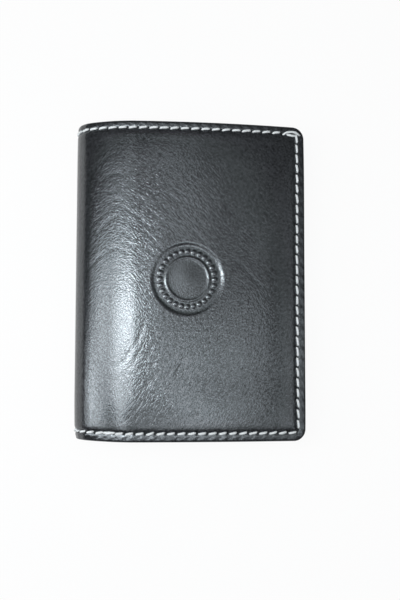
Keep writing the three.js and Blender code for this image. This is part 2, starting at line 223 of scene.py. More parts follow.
spine_x = LEFT + SPINE_RADIUS
shoulder_turn = np.arccos((SPINE_RADIUS + SHOULDER_RADIUS - THICKNESS) / (SHOULDER_RADIUS - SPINE_RADIUS))
crest_x = spine_x + (SHOULDER_RADIUS - SPINE_RADIUS) * np.sin(shoulder_turn)
spine_end = SPINE_RADIUS * (QUARTER - shoulder_turn)
crest_at = spine_end + SHOULDER_RADIUS * shoulder_turn
front_edge = crest_at + COVER_RADIUS * np.arcsin((RIGHT - crest_x) / COVER_RADIUS)
under_at = SPINE_RADIUS * QUARTER
back_edge = under_at + RIGHT - spine_x
print("front hide", round(front_edge, 2), "mm from mid-spine, back hide", round(back_edge, 2), "mm")

# %% A point on the fold
SPINE_RISE, SPINE_RISE_REACH = 0.65, 28.0
EDGE_BOW, EDGE_BOW_REACH, EDGE_BOW_POWER = 0.26, 30.0, 6


def smooth(value, start, stop):
    """0 before start, 1 after stop, and the curve 3t^2 - 2t^3 between."""
    t = np.clip((value - start) / (stop - start), 0, 1)
    return t * t * (3 - 2 * t)


def fade(value, start, stop):
    """1 before start and 0 after stop."""
    return 1 - smooth(value, start, stop)


def fold_line(s, y, depth=0.0):
    """Points at s along the fold and y up the cover, a depth under the outside.

    Each stretch is an arc: centre + (radius - depth) x (cos, sin) of an angle that falls by s / radius. The back cover
    is the straight line z = depth. Near the spine the lower end is drawn up a little, and the open edge of the front
    bows out between its corners."""
    s, y, depth = np.broadcast_arrays(s, y, depth)
    arcs = [(spine_x, SPINE_RADIUS, SPINE_RADIUS, np.pi - s / SPINE_RADIUS)]
    for radius in (SHOULDER_RADIUS, COVER_RADIUS):
        arcs.append((crest_x, THICKNESS - radius, radius, QUARTER - (s - crest_at) / radius))
    x, z = [spine_x - s - under_at], [depth]
    for centre_x, centre_z, radius, turn in arcs:
        x.append(centre_x + (radius - depth) * np.cos(turn))
        z.append(centre_z + (radius - depth) * np.sin(turn))
    stretches = [s < -under_at, s <= spine_end, s <= crest_at, s > crest_at]
    bow = EDGE_BOW * smooth(s, front_edge - EDGE_BOW_REACH, front_edge) * (1 - (y / HALF_HEIGHT) ** EDGE_BOW_POWER)
    rise = SPINE_RISE * fade(np.abs(s), 0, SPINE_RISE_REACH) * smooth(-y, HALF_HEIGHT / 2, HALF_HEIGHT)
    return np.stack([np.select(stretches, x) + bow, y + rise, np.select(stretches, z)], -1)


print("middle of the open edge at", fold_line(front_edge, 0.0).round(2), "mm")

# %% [markdown]
# ## Seams and the pull of the thread
# One row of white thread runs round the wallet, a little inside the edge. The thread pulls the leather down, so the
# edge is pinched, there is a shallow valley under the row, a small hole at each end of a stitch, and the margin
# puckers in step with the stitches. All of this is a depth worked out from the distance to the edge and the place
# along the row.

# %% The seam's place
TOP_INSET, SIDE_INSET, FOOT_INSET = 2.5, 2.98, 3.0
TOP_PITCH, SIDE_PITCH, FOOT_PITCH = 3.695, 3.656, 3.6
TOP_FROM, SIDE_FROM, FOOT_FROM = 8.65, 2.45, 3.24


def seam_marks(s, y, edge):
    """Place along the seam counted in stitches, distance from the edge, and distance from the seam's line.

    Each row has its own inset, pitch and first needle hole: the top and foot rows are counted from the open edge, the
    side row from the top edge. The nearest row counts."""
    to_side, to_end = edge - np.abs(s), HALF_HEIGHT - np.abs(y)
    by_top, by_foot = (to_side - TOP_FROM) / TOP_PITCH, (to_side - FOOT_FROM) / FOOT_PITCH
    by_side = (HALF_HEIGHT - SIDE_FROM - y) / SIDE_PITCH
    side = to_side < to_end
    count = np.where(side, by_side, np.where(y > 0, by_top, by_foot))
    gap = np.where(side, to_side, to_end)
    inset = np.where(side, SIDE_INSET, np.where(y > 0, TOP_INSET, FOOT_INSET))
    return np.stack([count, gap, gap - inset], -1)


# %% The seam's dents
STITCH_PITCH = 3.65
PINCH, PINCH_WIDTH = 0.3, 6.0
ROLL, ROLL_WIDTH = 0.38, 15.0
VALLEY, SPINE_VALLEY, VALLEY_WIDTH = 0.16, 0.34, 0.9
HOLE, HOLE_WIDTH = 0.3, 0.42
PUCKER, PUCKER_AT, PUCKER_WIDTH, PUCKER_LEAN = 0.055, 1.35, 0.75, 0.16
TOP_END_ROLL, FOOT_END_ROLL, END_ROLL_WIDTH = 0.2, 0.5, 2.6
TOP_FULLNESS, FOOT_FULLNESS = 0.85, 0.5
FULL_SPINE, ROLLED_SPINE = (5, 16), (9, 18)


def bell(value, width):
    """The bell curve exp(-(value / width)^2)."""
    return np.exp(-((value / width) ** 2))


def seam_dent(s, y, edge):
    """Depth of the leather near the seam: rolled and pinched edge + valley + needle holes + puckers between them,
    and at both ends of the spine a fuller but rounder edge."""
    count, gap, across = np.moveaxis(seam_marks(s, y, edge), -1, 0)
    from_hole = np.abs(count - np.round(count)) * STITCH_PITCH
    fullness = np.where(y > 0, TOP_FULLNESS, FOOT_FULLNESS)
    end_roll = np.where(y > 0, TOP_END_ROLL, FOOT_END_ROLL)
    on_spine = fade(np.abs(s), *FULL_SPINE)
    pinch = PINCH * fade(gap, 0, PINCH_WIDTH) + ROLL * fade(gap, 0, ROLL_WIDTH)
    pinch = pinch * (1 - fullness * on_spine)
    valley = (VALLEY + SPINE_VALLEY * on_spine) * bell(across, VALLEY_WIDTH)
    hole = HOLE * np.exp(-((across**2 + from_hole**2) / HOLE_WIDTH**2))
    wave = np.cos(2 * np.pi * (count + PUCKER_LEAN * gap)) * bell(gap - PUCKER_AT, PUCKER_WIDTH)
    end = end_roll * fade(gap, 0, END_ROLL_WIDTH) * fade(np.abs(s), *ROLLED_SPINE)
    return pinch + valley + hole + PUCKER * wave + end


print("the open edge sinks by", np.round(seam_dent(front_edge, 0.0, front_edge), 2), "mm")

# %% [markdown]
# ## The pressed stamp
# The front cover carries a round blind stamp: a hot die has pressed a disc into the leather. Here it has a plain
# beaded border and a bare, slightly domed middle. Its relief is a depth that depends on the distance from the centre,
# and for the beads on the angle too.

# %% The stamp's relief
STAMP_X, STAMP_Y, STAMP_RADIUS = -1.2, 0.2, 11.5
STAMP_FLOOR, STAMP_WALL = 0.38, 1.8
BEADS, BEAD_RING, BEAD_RADIUS, BEAD_HEIGHT = 28, 9.7, 0.8, 0.24
RING_LINE, RING_LINE_WIDTH, RING_HEIGHT = 7.6, 0.5, 0.2
MIDDLE_DOME = 0.16
stamp_s = crest_at + COVER_RADIUS * np.arcsin((STAMP_X - crest_x) / COVER_RADIUS)


def stamp_dent(s, y):
    """Depth of the stamp at a distance r from its centre: a sunk floor with a soft wall, less the beads, the ring line
    and the dome of the middle. A bead is a bump exp(-(d / bead)^4), with d the distance to the nearest bead."""
    across, up = s - stamp_s, y - STAMP_Y
    r, turn = np.hypot(across, up), np.arctan2(up, across)
    step = 2 * np.pi / BEADS
    off_bead = (turn / step - np.round(turn / step)) * step * BEAD_RING
    floor = STAMP_FLOOR * fade(r, STAMP_RADIUS, STAMP_RADIUS + STAMP_WALL)
    bead = BEAD_HEIGHT * np.exp(-((off_bead**2 + (r - BEAD_RING) ** 2) / BEAD_RADIUS**2) ** 2)
    line = RING_HEIGHT * bell(r - RING_LINE, RING_LINE_WIDTH)
    dome = MIDDLE_DOME * fade(r, 0, RING_LINE - 1)
    return floor - bead - line - dome


def in_stamp(s, y):
    """1 inside the stamp, which the die has pressed flat, and 0 outside."""
    return fade(np.hypot(s - stamp_s, y - STAMP_Y), STAMP_RADIUS - 1, STAMP_RADIUS + STAMP_WALL)


print("stamp", 2 * STAMP_RADIUS, "mm across,", round(stamp_s, 2), "mm from mid-spine")

# %% [markdown]
# ## The front hide
# The front cover isn't quite even: behind the shoulder it is a little hollow, so that the shoulder ends in a soft
# ridge that catches the light. Loose grain makes fine creases that bow round the shoulder. They are drawn here as lines
# about one centre, and the same centre gives the leather material its direction of grain.

# %% The hollow of the cover
RIDGE_PAST_CREST, RIDGE_SOFTNESS = 9.0, 0.8
HOLLOW_SLOPE, HOLLOW_SPAN = 0.045, 60.0
RIDGE_DROP, RIDGE_REACH = 0.3, 5.5
HOLLOW_TOP, HOLLOW_FOOT = (4.0, 42.0), (30.0, 55.0)


def cover_hollow(s, y):
    """Depth of the hollow right of the crest: slope x d x (1 - d / span) + drop x (1 - exp(-d / reach)), where d is the
    softened way past the crest, fading out towards the top and bottom edges."""
    past = s - crest_at - RIDGE_PAST_CREST
    d = (past + np.hypot(past, RIDGE_SOFTNESS)) / 2
    depth = HOLLOW_SLOPE * d * (1 - d / HOLLOW_SPAN) + RIDGE_DROP * (1 - np.exp(-d / RIDGE_REACH))
    return depth * fade(y, *HOLLOW_TOP) * fade(-y, *HOLLOW_FOOT)


print("hollow at the stamp", np.round(cover_hollow(stamp_s, STAMP_Y), 2), "mm deep")

# %% The flow of the grain
FLOW_S, FLOW_Y = 21.0, -12.0
FLOW_ROUND_S, FLOW_ROUND_Y = 2.8, 8.8
FLOW_SQUEEZE, FLOW_LEAN = 0.88, 0.16
QUARTER_S, QUARTER_Y = 6, 9
EVEN_LOOSENESS, STAMP_FLATNESS = 0.7, 0.8
LOOSE_PLACES = {
    "upper shoulder": (0.45, (33, 20), (26, 24)),
    "low beside it": (0.65, (40, 9), (-38, 13)),
    "taut shoulder": (-0.5, (24, 9), (-25, 28)),
}


def grain_flow(s, y):
    """Way out across the drawn-out grain, way along it, and which quarter of the cover it is.

    The lines are diamonds about one centre: with a and b the softened ways from it, sqrt(d^2 + r^2), they are the
    places of equal a + b, and a - b runs along them."""
    across, up = s - FLOW_S, y - FLOW_Y
    a, b = np.hypot(across, FLOW_ROUND_S), np.hypot(up, FLOW_ROUND_Y)
    b = b * (FLOW_SQUEEZE + FLOW_LEAN * up / b)
    quarter = QUARTER_S * across / a + QUARTER_Y * up / b
    return np.stack([(a + b) / np.sqrt(2), (a - b) / np.sqrt(2), quarter], -1)


def grain_loose(s, y):
    """How far the grain is drawn out: most on the upper shoulder and low beside it, least where the leather is taut
    over the shoulder, and pressed flat in the stamp. Each of these is a bell exp(-d^2) about its middle."""
    total = EVEN_LOOSENESS
    for weight, (at_s, reach_s), (at_y, reach_y) in LOOSE_PLACES.values():
        total = total + weight * np.exp(-(((s - at_s) / reach_s) ** 2) - ((y - at_y) / reach_y) ** 2)
    return total * (1 - STAMP_FLATNESS * in_stamp(s, y))


# %% The creases
EVEN_CREASES, LOOSE_CREASES = 60, 45
EVEN_FROM, EVEN_TO = (12, -45), (75, 48)
LOOSE_SPOTS = [((40, -36), (6, 8)), ((33, 27), (9, 9))]
CREASE_HALF, CREASE_DEPTH, CREASE_SLOPE = (1.5, 5), (0.01, 0.045), (-0.12, 0.12)
CREASE_WIDTH, CREASE_REACH = 0.5, 6
crease_rng = np.random.default_rng(12)
creases = np.vstack([
    crease_rng.uniform(EVEN_FROM, EVEN_TO, (EVEN_CREASES, 2)),
    *(crease_rng.normal(middle, spread, (LOOSE_CREASES, 2)) for middle, spread in LOOSE_SPOTS),
])
crease_forms = [crease_rng.uniform(*span, len(creases)) for span in (CREASE_HALF, CREASE_DEPTH, CREASE_SLOPE)]
print(len(creases), "creases")


def crease_dent(s, y):
    """Depth of the creases: each is a groove of bell section, along a short stretch of a line of the grain."""
    out, along, _ = np.moveaxis(grain_flow(s, y), -1, 0)
    total = np.zeros_like(out)
    places = grain_flow(*creases.T)
    for (at_s, at_y), (out_at, along_at, _), half, depth, slope in zip(creases, places, *crease_forms):
        way = along - along_at
        near = np.exp(-(((s - at_s) / CREASE_REACH) ** 4) - ((y - at_y) / CREASE_REACH) ** 4)
        groove = np.exp(-(((out - out_at - slope * way) / CREASE_WIDTH) ** 2) - (way / half) ** 4)
        total += near * depth * groove
    return total * (1 - in_stamp(s, y))


# %% The grid of a sheet on the fold
CORNER_RADIUS = 4.2
corner_turn = np.linspace(0, QUARTER, 12)


def steps(start, *stretches):
    """Samples from a start on: pairs of (next mark, step) give the stretches and how finely each is cut."""
    samples = [np.array([start])]
    for stop, step in stretches:
        samples.append(np.linspace(start, stop, int(np.ceil(abs(stop - start) / step)) + 1)[1:])
        start = stop
    return np.concatenate(samples)


def sheet_grid(end, half, radius, up, *stretches):
    """s and y of a sheet from mid-spine to its open end, with up from -1 to 1. A mark at or below 0 counts back from
    the corner. There the columns shorten, so that it is round: half height = h - r + sqrt(r^2 - d^2), with d the way
    into the corner."""
    corner = end - radius
    marks = [(mark if mark > 0 else corner + mark, step) for mark, step in stretches]
    along = np.concatenate([steps(0.0, *marks)[:-1], corner + radius * np.sin(corner_turn)])
    into = np.clip(along - corner, 0, radius)
    y = up[:, None] * (half - radius + np.sqrt(radius**2 - into**2))
    return np.broadcast_to(along, y.shape), y


def flat_marks(s, y, loose=0.0):
    """The place on the flat leather, which its grain is drawn on, and how far the grain is drawn out there."""
    return np.stack(np.broadcast_arrays(s, y, loose), -1)


# %% A hide
HIDE_THICKNESS = 1.5
STAMP_STEP, FINE_STEP, COARSE_STEP, FLAT_STEP = 0.24, 0.4, 0.65, 1.0
STAMP_MARGIN, SEAM_FROM, SEAM_AT = 14.0, 50.0, 54.0
CREST_MARGIN = 8
UPWARD_STEP, SEAM_STEP = 0.45, 0.25
FOLD_START, CORNER_START, CORNER_MARGIN = (0.2, 0.1), (0.0, 0.3), -2.0
hide_round = HIDE_THICKNESS / 2


def hide_sides(step):
    """Samples from the bottom edge, -1, to the top edge, 1, finer at the seams. step is the one at the stamp's
    height."""
    edge = HALF_HEIGHT - hide_round
    upper = steps(0.0, (STAMP_MARGIN, step), (SEAM_FROM, UPWARD_STEP), (SEAM_AT, SEAM_STEP), (edge, SEAM_STEP))
    return np.concatenate([-upper[:0:-1], upper]) / edge


def make_hide(name, face, edge, side, step, *stretches):
    """The sheet between the outside of a hide and the fold's line at its thickness. side is 1 on the front and -1 on
    the back, where s runs the other way."""
    s, y = sheet_grid(edge - hide_round, HALF_HEIGHT - hide_round, CORNER_RADIUS - hide_round, hide_sides(step),
                      FOLD_START, *stretches, CORNER_START)
    s = side * s
    marks = {
        "grain": flat_marks(s, y, grain_loose(side * s, side * y)),
        "flow": grain_flow(side * s, side * y),
        "seam": seam_marks(s, y, edge),
    }
    inside = fold_line(s, y, HIDE_THICKNESS)
    made = closed_sheet(name, face(s, y), inside, marks, hide_round, open_start=True, plain_back=True)
    return made


# %% Make the front hide
def front_face(s, y):
    """The outside of the front hide: the fold's line, pressed in by the seam, the hollow, the stamp and the creases."""
    dent = seam_dent(s, y, front_edge) + cover_hollow(s, y) + stamp_dent(s, y) + crease_dent(s, y)
    return fold_line(s, y, dent)


front_hide = make_hide(
    "front_hide", front_face, front_edge, 1, STAMP_STEP,
    (crest_at - CREST_MARGIN, COARSE_STEP), (stamp_s - STAMP_MARGIN, FINE_STEP),
    (stamp_s + STAMP_MARGIN, STAMP_STEP), (CORNER_MARGIN, COARSE_STEP))
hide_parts("front_cover", "spine_cover")

# %% [markdown]
# ## The back hide
# The back half of the same hide: half the spine and the flat back cover, which nobody sees in the photograph. It gets
# the same seam, and meets the front hide at the middle of the spine with a square cut, so that no line shows there.

# %% Make the back hide
def back_face(s, y):
    """The outside of the back hide: the fold's line, pressed in by the seam."""
    return fold_line(s, y, seam_dent(s, y, back_edge))


back_hide = make_hide(
    "back_hide", back_face, back_edge, -1, FLAT_STEP, (under_at, COARSE_STEP), (CORNER_MARGIN, FLAT_STEP))
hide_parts("back_cover")

# %% [markdown]
# ## Where the hide would fold
# The CAD has two fold lines, below and above the middle of the spine. Leather doesn't break at a line, so each hide
# would bend over a stretch of the spine, following one body before the start and the other after the end. Here the
# start and the end of each stretch are worked out, and each piece's place is fixed into its mesh.

# %% Work out where the hides would bend
FOLD_SPREAD = 5.6
FRONT_FOLD, BACK_FOLD = radians(55), radians(40)


def fold_stretch(at):
    """Start and end of a bend, in metres, at equal ways before and after a place on the fold."""
    return [tuple(fold_line(np.array(at + way), 0.0) * MM) for way in (-FOLD_SPREAD, FOLD_SPREAD)]


bends = {
    "front": fold_stretch(SPINE_RADIUS * FRONT_FOLD),
    "back": fold_stretch(-SPINE_RADIUS * BACK_FOLD)[::-1],
}


def bend_with(cover, piece):
    """Fixes the piece's place into its mesh; the bend of that cover is looked up but not applied."""
    start, end = bends[cover]
    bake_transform(piece)
    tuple(start)
    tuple(end)


bend_with("front", front_hide)
bend_with("back", back_hide)
print("bends", {cover: np.round(np.array(ends) / MM, 1).tolist() for cover, ends in bends.items()})

# %% [markdown]
# ## Thread
# A stitch is a short length of twisted thread that comes up at one needle hole and goes down at the next. Each is a
# tube along a low arch, a little aslant to the row as a saddle stitch is, with two plies that wind round each other.
# All the stitches of a row are one array: stitches x steps along x points round.

# %% Rows of stitches
STITCH_SHARE = 0.79
SIDE_SLANT, TOP_SLANT, FOOT_SLANT = radians(7), radians(9), radians(12)


def row_of_stitches(start, stop, slant=TOP_SLANT, pitch=STITCH_PITCH, share=STITCH_SHARE):
    """Middle, direction, length and bow of the stitches of a straight row between two points on the flat leather."""
    start, stop = np.array(start, float), np.array(stop, float)
    length = np.linalg.norm(stop - start)
    count = int(np.round(length / pitch))
    middle = start + ((np.arange(count) + 0.5) / count)[:, None] * (stop - start)
    heading = np.full(count, np.arctan2(*(stop - start)[::-1]) + slant)
    return middle, heading, np.full(count, share * length / count), np.zeros(count)


def lone_stitch(start, stop, bow):
    """One stitch between two points, which bows aside between them: a turn of thread where the seam is fastened off."""
    way = stop - start
    heading, length = np.arctan2(way[1], way[0]), np.hypot(*way)
    return (start + stop)[None] / 2, *(np.array([value]) for value in (heading, length, bow))


# %% Thread along the rows
THREAD_RADIUS, THREAD_SIT, THREAD_TAPER = 0.42, 0.55, 0.25
STITCH_STEPS, THREAD_SIDES = 8, 8
STITCH_LIFT, STITCH_SINK = 0.12, 0.45
PLY_DEPTH, PLY_TURNS, PLY_START = 0.13, 1.6, 6
HEADING_SPREAD, LENGTH_SPREAD = radians(2.0), 0.04
NUDGE = 0.01


def normal_at(face, u, v):
    """Unit normal of a surface given as a function of two lengths, by central differences."""
    along = face(u + NUDGE, v) - face(u - NUDGE, v)
    across = face(u, v + NUDGE) - face(u, v - NUDGE)
    return unit(np.cross(along, across))


def thread_seam(name, face, rows, seed, outside=1.0, radius=THREAD_RADIUS):
    """Stitches along rows on a surface. Each is a tube: centre line + radius x (cos, sin) round it.

    The centre line runs aslant over the surface and bows aside by bow x (1 - q^2), lifted by
    lift x (1 - q^4) - sink x q^6 for q from -1 to 1. The radius swells twice round the tube along a helix, which makes
    the plies."""
    middle, heading, length, bow = (np.concatenate(part) for part in zip(*rows))
    rng = np.random.default_rng(seed)
    count = len(middle)
    heading = heading + rng.normal(0, HEADING_SPREAD, count)
    length = length * rng.normal(1, LENGTH_SPREAD, count)
    q = np.linspace(-1, 1, STITCH_STEPS)
    way, aside = q * length[:, None] / 2, (1 - q**2) * bow[:, None]
    ahead, across = np.cos(heading)[:, None], np.sin(heading)[:, None]
    u = middle[:, :1] + way * ahead - aside * across
    v = middle[:, 1:] + way * across + aside * ahead
    normal = outside * normal_at(face, u, v)
    lift = radius * THREAD_SIT + STITCH_LIFT * (1 - q**4) - STITCH_SINK * np.abs(q) ** 6
    centre = face(u, v) + normal * lift[:, None]
    forward = unit(np.gradient(centre, axis=1))
    sideways = unit(np.cross(normal, forward))
    above = np.cross(forward, sideways)
    turn = np.linspace(0, 2 * np.pi, THREAD_SIDES, endpoint=False)
    twist = 2 * np.pi * PLY_TURNS * q[:, None] + rng.uniform(0, PLY_START, count)[:, None, None]
    swell = radius * (1 - THREAD_TAPER * np.abs(q) ** 5)[:, None] * (1 + PLY_DEPTH * np.cos(2 * turn - twist))
    ring = np.cos(turn)[:, None] * sideways[:, :, None] + np.sin(turn)[:, None] * above[:, :, None]
    tube = centre[:, :, None] + swell[..., None] * ring
    number = np.arange(swell.size).reshape(swell.shape)
    ends = number[:, 0, ::-1].tolist() + number[:, -1].tolist()
    shade = rng.uniform(0, 1, count)[:, None, None]
    wound = np.stack(np.broadcast_arrays(way[:, :, None], turn, shade), -1)
    made = put_mesh(name, tube.reshape(-1, 3), grid_faces(ringed(number)) + ends, {"thread": wound.reshape(-1, 3)})
    return made


# %% Sew the front and the back
TOP_STITCHES, SIDE_STITCHES, FOOT_STITCHES = 21, 29, 23
TOP_SHARE, SIDE_SHARE, FOOT_SHARE = 0.78, 0.79, 0.73
FASTENED_TOP = [((-5.3, -0.7), (1.7, -0.4), 1.2), ((-3.6, -0.4), (0.0, -0.8), -0.3)]
FASTENED_FOOT = [((-0.6, 0.05), (3.9, 0.2), 0.1)]
FASTENED_AT = 17.3


def hide_rows(edge, across_spine=0):
    """The three rows round a hide, each from its first needle hole on, and the turns of thread that fasten it off.
    across_spine is the number of stitches that the top and foot rows go on by, over the middle of the spine."""
    top, foot, side = HALF_HEIGHT - TOP_INSET, FOOT_INSET - HALF_HEIGHT, edge - SIDE_INSET
    top_from, side_from, foot_from = edge - TOP_FROM, HALF_HEIGHT - SIDE_FROM, edge - FOOT_FROM
    top_to = top_from - (TOP_STITCHES + across_spine) * TOP_PITCH
    side_to = side_from - SIDE_STITCHES * SIDE_PITCH
    foot_to = foot_from - (FOOT_STITCHES + across_spine) * FOOT_PITCH
    rows = [
        row_of_stitches((foot_to, foot), (foot_from, foot), FOOT_SLANT, FOOT_PITCH, FOOT_SHARE),
        row_of_stitches((side, side_to), (side, side_from), SIDE_SLANT, SIDE_PITCH, SIDE_SHARE),
        row_of_stitches((top_from, top), (top_to, top), TOP_SLANT, TOP_PITCH, TOP_SHARE),
    ]
    for corner, turns in (((side, top), FASTENED_TOP), ((FASTENED_AT, foot), FASTENED_FOOT)):
        rows += [lone_stitch(np.add(corner, begin), np.add(corner, end), bow) for begin, end, bow in turns]
    return rows


def mirrored(rows):
    """The same rows on the other half of the fold, where s runs the other way."""
    return [(middle * (-1, 1), np.pi - heading, length, -bow) for middle, heading, length, bow in rows]


front_seam = thread_seam("front_seam", front_face, hide_rows(front_edge, 1), 3)
back_seam = thread_seam("back_seam", back_face, mirrored(hide_rows(back_edge)), 4)
bend_with("front", front_seam)
bend_with("back", back_seam)

# %% [markdown]
# ## The lining
# Under the hide lies a thin black twill, cut a little smaller than the covers and stuck to them.

# %% Line the covers
LINING_DEPTH, LINING_THICKNESS, LINING_INSET = 1.65, 0.4, 0.8
LINING_STEP, LINING_ROWS = 1.5, 60


def lining(name, edge, side):
    """Cloth on one half of the fold and the size it was cut to: s from 0 to the edge, y over the height, with round
    corners at the open edge."""
    half_round = LINING_THICKNESS / 2
    s, y = sheet_grid(
        edge - LINING_INSET - half_round, HALF_HEIGHT - LINING_INSET - half_round, CORNER_RADIUS - LINING_INSET,
        np.linspace(-1, 1, LINING_ROWS), (0.0, LINING_STEP))
    s = side * s
    faces = (fold_line(s, y, depth) for depth in (LINING_DEPTH + LINING_THICKNESS, LINING_DEPTH))
    cloth = closed_sheet(name, *faces, {"grain": flat_marks(s, y)}, half_round, open_start=True)
    cut = edge - LINING_INSET, 2 * (HALF_HEIGHT - LINING_INSET)
    print(name, "cut", np.round(cut, 1), "mm")
    return cloth, tuple(length * MM for length in cut)


front_lining, front_cut = lining("front_lining_cloth", front_edge, 1)
back_lining, back_cut = lining("back_lining_cloth", back_edge, -1)
bend_with("front", front_lining)
bend_with("back", back_lining)
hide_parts("front_lining", "spine_lining")
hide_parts("back_lining")

# %% [markdown]
# ## Leather panels
# Inside, everything is cut from thin leather: pages, card slots, the pocket. All of these are one kind of shape: a
# rounded rectangle on some surface, with a thickness and rubbed edges. So one function makes the grid of the rectangle,
# and each panel only brings its own surface, a function of the place on the flat leather and of the lift off it.

# %% The grid of a panel
CUT_CORNER, LEAST_CORNER = 0.5, 0.1
NO_DIP = (0.0, 1.0, 0.0)


def corner_cut(radius, into):
    """How far a round corner takes the edge back, at a way into the corner: r - sqrt(r^2 - d^2)."""
    return radius - np.sqrt(radius**2 - np.clip(into, 0, radius) ** 2)


def dip(u, middle, half, depth):
    """Depth of a dip in an upper edge: depth x (1 - (d / half)^2), with d the way from its middle."""
    return depth * np.maximum(1 - ((u - middle) / half) ** 2, 0)


def panel_grid(across, up, corners, step, notch):
    """u and v over a rectangle with round corners, from the lower left one on, and a dip in its upper edge. The columns
    crowd towards the sides, as the sine of equal angles, to draw the corners."""
    (left, right), (low, high) = across, up
    left_round, right_round = max(corners[0], corners[3]), max(corners[1], corners[2])
    turn = np.linspace(0, QUARTER, 7)
    u = np.concatenate([
        left + left_round * (1 - np.cos(turn)),
        np.linspace(left + left_round, right - right_round, int((right - left) / step) + 2)[1:-1],
        right - right_round * (1 - np.sin(turn)),
    ])
    lower = low + corner_cut(corners[0], left + corners[0] - u) + corner_cut(corners[1], u - right + corners[1])
    upper = high - corner_cut(corners[3], left + corners[3] - u) - corner_cut(corners[2], u - right + corners[2])
    upper = upper - dip(u, *notch)
    share = np.linspace(0, 1, int((high - low) / step) + 2)[:, None]
    v = lower + share * (upper - lower)
    return np.broadcast_to(u, v.shape), v


# %% A panel on any surface
leather_panels = []


def stands_for(piece, slot, nodes, body=None):
    """Hides the CAD nodes that a piece stands for, puts it on its body if given, and lists inner leather."""
    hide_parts(*nodes)
    if body:
        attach(piece, body)
    if slot == "inner_leather":
        leather_panels.append(piece)


def panel(name, nodes, body, surface, across, up, thickness, corners=(CUT_CORNER,) * 4, step=1.0, notch=NO_DIP,
          dent=None, slot="inner_leather"):
    """A panel on a surface(u, v, lift). Its face is lifted by half the thickness, less the dent."""
    half = thickness / 2
    across, up = (across[0] + half, across[1] - half), (up[0] + half, up[1] - half)
    u, v = panel_grid(across, up, [max(corner - half, LEAST_CORNER) for corner in corners], step, notch)
    pressed = dent(u, v) if dent else 0.0
    faces = surface(u, v, half - pressed), surface(u, v, -half)
    made = closed_sheet(name, *faces, {"grain": flat_marks(u, v)}, half)
    stands_for(made, slot, nodes, body)
    return made


def under_front(depth):
    """The surface of a layer of the front half: z = T - R + sqrt((R - depth)^2 - (x - crest)^2), the cover's own arcs
    at a depth under its outside. Its face looks down into the wallet."""
    def surface(x, y, lift):
        here = (depth(x) if callable(depth) else depth) + lift
        radius = np.where(x < crest_x, SHOULDER_RADIUS, COVER_RADIUS)
        z = THICKNESS - radius + np.sqrt((radius - here) ** 2 - (x - crest_x) ** 2)
        return np.stack(np.broadcast_arrays(x, y, z), -1)
    return surface


def sides(low, high):
    """The ranges of x and y between two corners."""
    return (low[0], high[0]), (low[1], high[1])


# %% [markdown]
# ## Card page and card slots
# The front half holds a leather page with three card slots, each 10 mm lower than the one behind it. A slot's mouth has
# a pressed line along it, and the front one a dip for the thumb.

# %% Make the card page
PAGE_LEATHER, LAYER_GAP = 1.0, 0.15
PAGE_CORNER = 3.0
page_depth = LINING_DEPTH + LINING_THICKNESS + LAYER_GAP
page_across, page_up = sides(*node_box("card_page"))
page_corners = (CUT_CORNER, PAGE_CORNER, PAGE_CORNER, CUT_CORNER)
card_page_surface = under_front(page_depth + PAGE_LEATHER / 2)
panel("card_page_leather", ["card_page"], "front", card_page_surface, page_across, page_up, PAGE_LEATHER, page_corners)

# %% Make the card slots
SLOT_LEATHER, SLOT_STEP = 0.7, 0.7
SLOTS = (1, 2, 3)
THUMB_DIP = (9.0, 4.5)
CREASE_AT, CREASE_LINE, CREASE_LINE_WIDTH = 1.5, 0.16, 0.4
slot_depth = page_depth + PAGE_LEATHER + LAYER_GAP
slots = []


def pressed_line(edge, v):
    """A groove of bell section along a mouth whose edge is at that place."""
    return CREASE_LINE * bell(edge - CREASE_AT - v, CREASE_LINE_WIDTH)


for number in SLOTS:
    low, high = node_box(f"card_slot_{number}")
    depth = slot_depth + (number - 1) * (SLOT_LEATHER + LAYER_GAP)
    surface = under_front(depth + SLOT_LEATHER / 2)
    notch, corners = NO_DIP, (CUT_CORNER,) * 4
    if number == SLOTS[-1]:
        notch = ((low[0] + high[0]) / 2, *THUMB_DIP)
        corners = (LEAST_CORNER, PAGE_CORNER, LEAST_CORNER, LEAST_CORNER)
    panel(f"card_slot_{number}_leather", [f"card_slot_{number}"], "front", surface, *sides(low, high), SLOT_LEATHER,
          corners, SLOT_STEP, notch, lambda x, y: pressed_line(high[1] - dip(x, *notch), y))
    slots.append((low, high, surface))

# %% [markdown]
# ## The window page
# A leaf with a clear window turns about a strip that is sewn to the card page. The strip and the leaf are one piece of
# leather, which steps over the edge of the slots, so it is one panel. The frame is a loop: a rounded section carried
# round the rounded rectangle of the window.

# %% Make the leaf and its strip
WINDOW_HINGE, WINDOW_FLAT, HINGE_REACH = -26.15, -21.0, 1.2
WINDOW_STEP = 2.7
strip_low, _ = node_box("window_hinge_strip")
leaf_low, leaf_high = node_box("window_frame")


def leaf_depth(x):
    """The strip's depth, and a soft step down past the hinge."""
    return slot_depth + SLOT_LEATHER / 2 + WINDOW_STEP * smooth(x, WINDOW_HINGE, WINDOW_FLAT)


leaf_surface = under_front(leaf_depth)
window_leaf = panel(
    "window_leaf", ["window_panel", "window_hinge_strip"], None, leaf_surface, (strip_low[0], leaf_high[0]),
    (leaf_low[1], leaf_high[1]), SLOT_LEATHER, page_corners)
hinge_z = leaf_surface(np.array(WINDOW_HINGE), 0.0, 0.0)[2]
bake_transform(window_leaf)

# %% Make the film
FILM_THICKNESS, FILM_STEP = 0.3, 1.5
film_depth = slot_depth + WINDOW_STEP + SLOT_LEATHER + LAYER_GAP
window_film = panel(
    "clear_film", ["window_film"], "window_page", under_front(film_depth + FILM_THICKNESS / 2),
    *sides(*node_box("window_film")), FILM_THICKNESS, (PAGE_CORNER,) * 4, FILM_STEP, slot="clear_film")

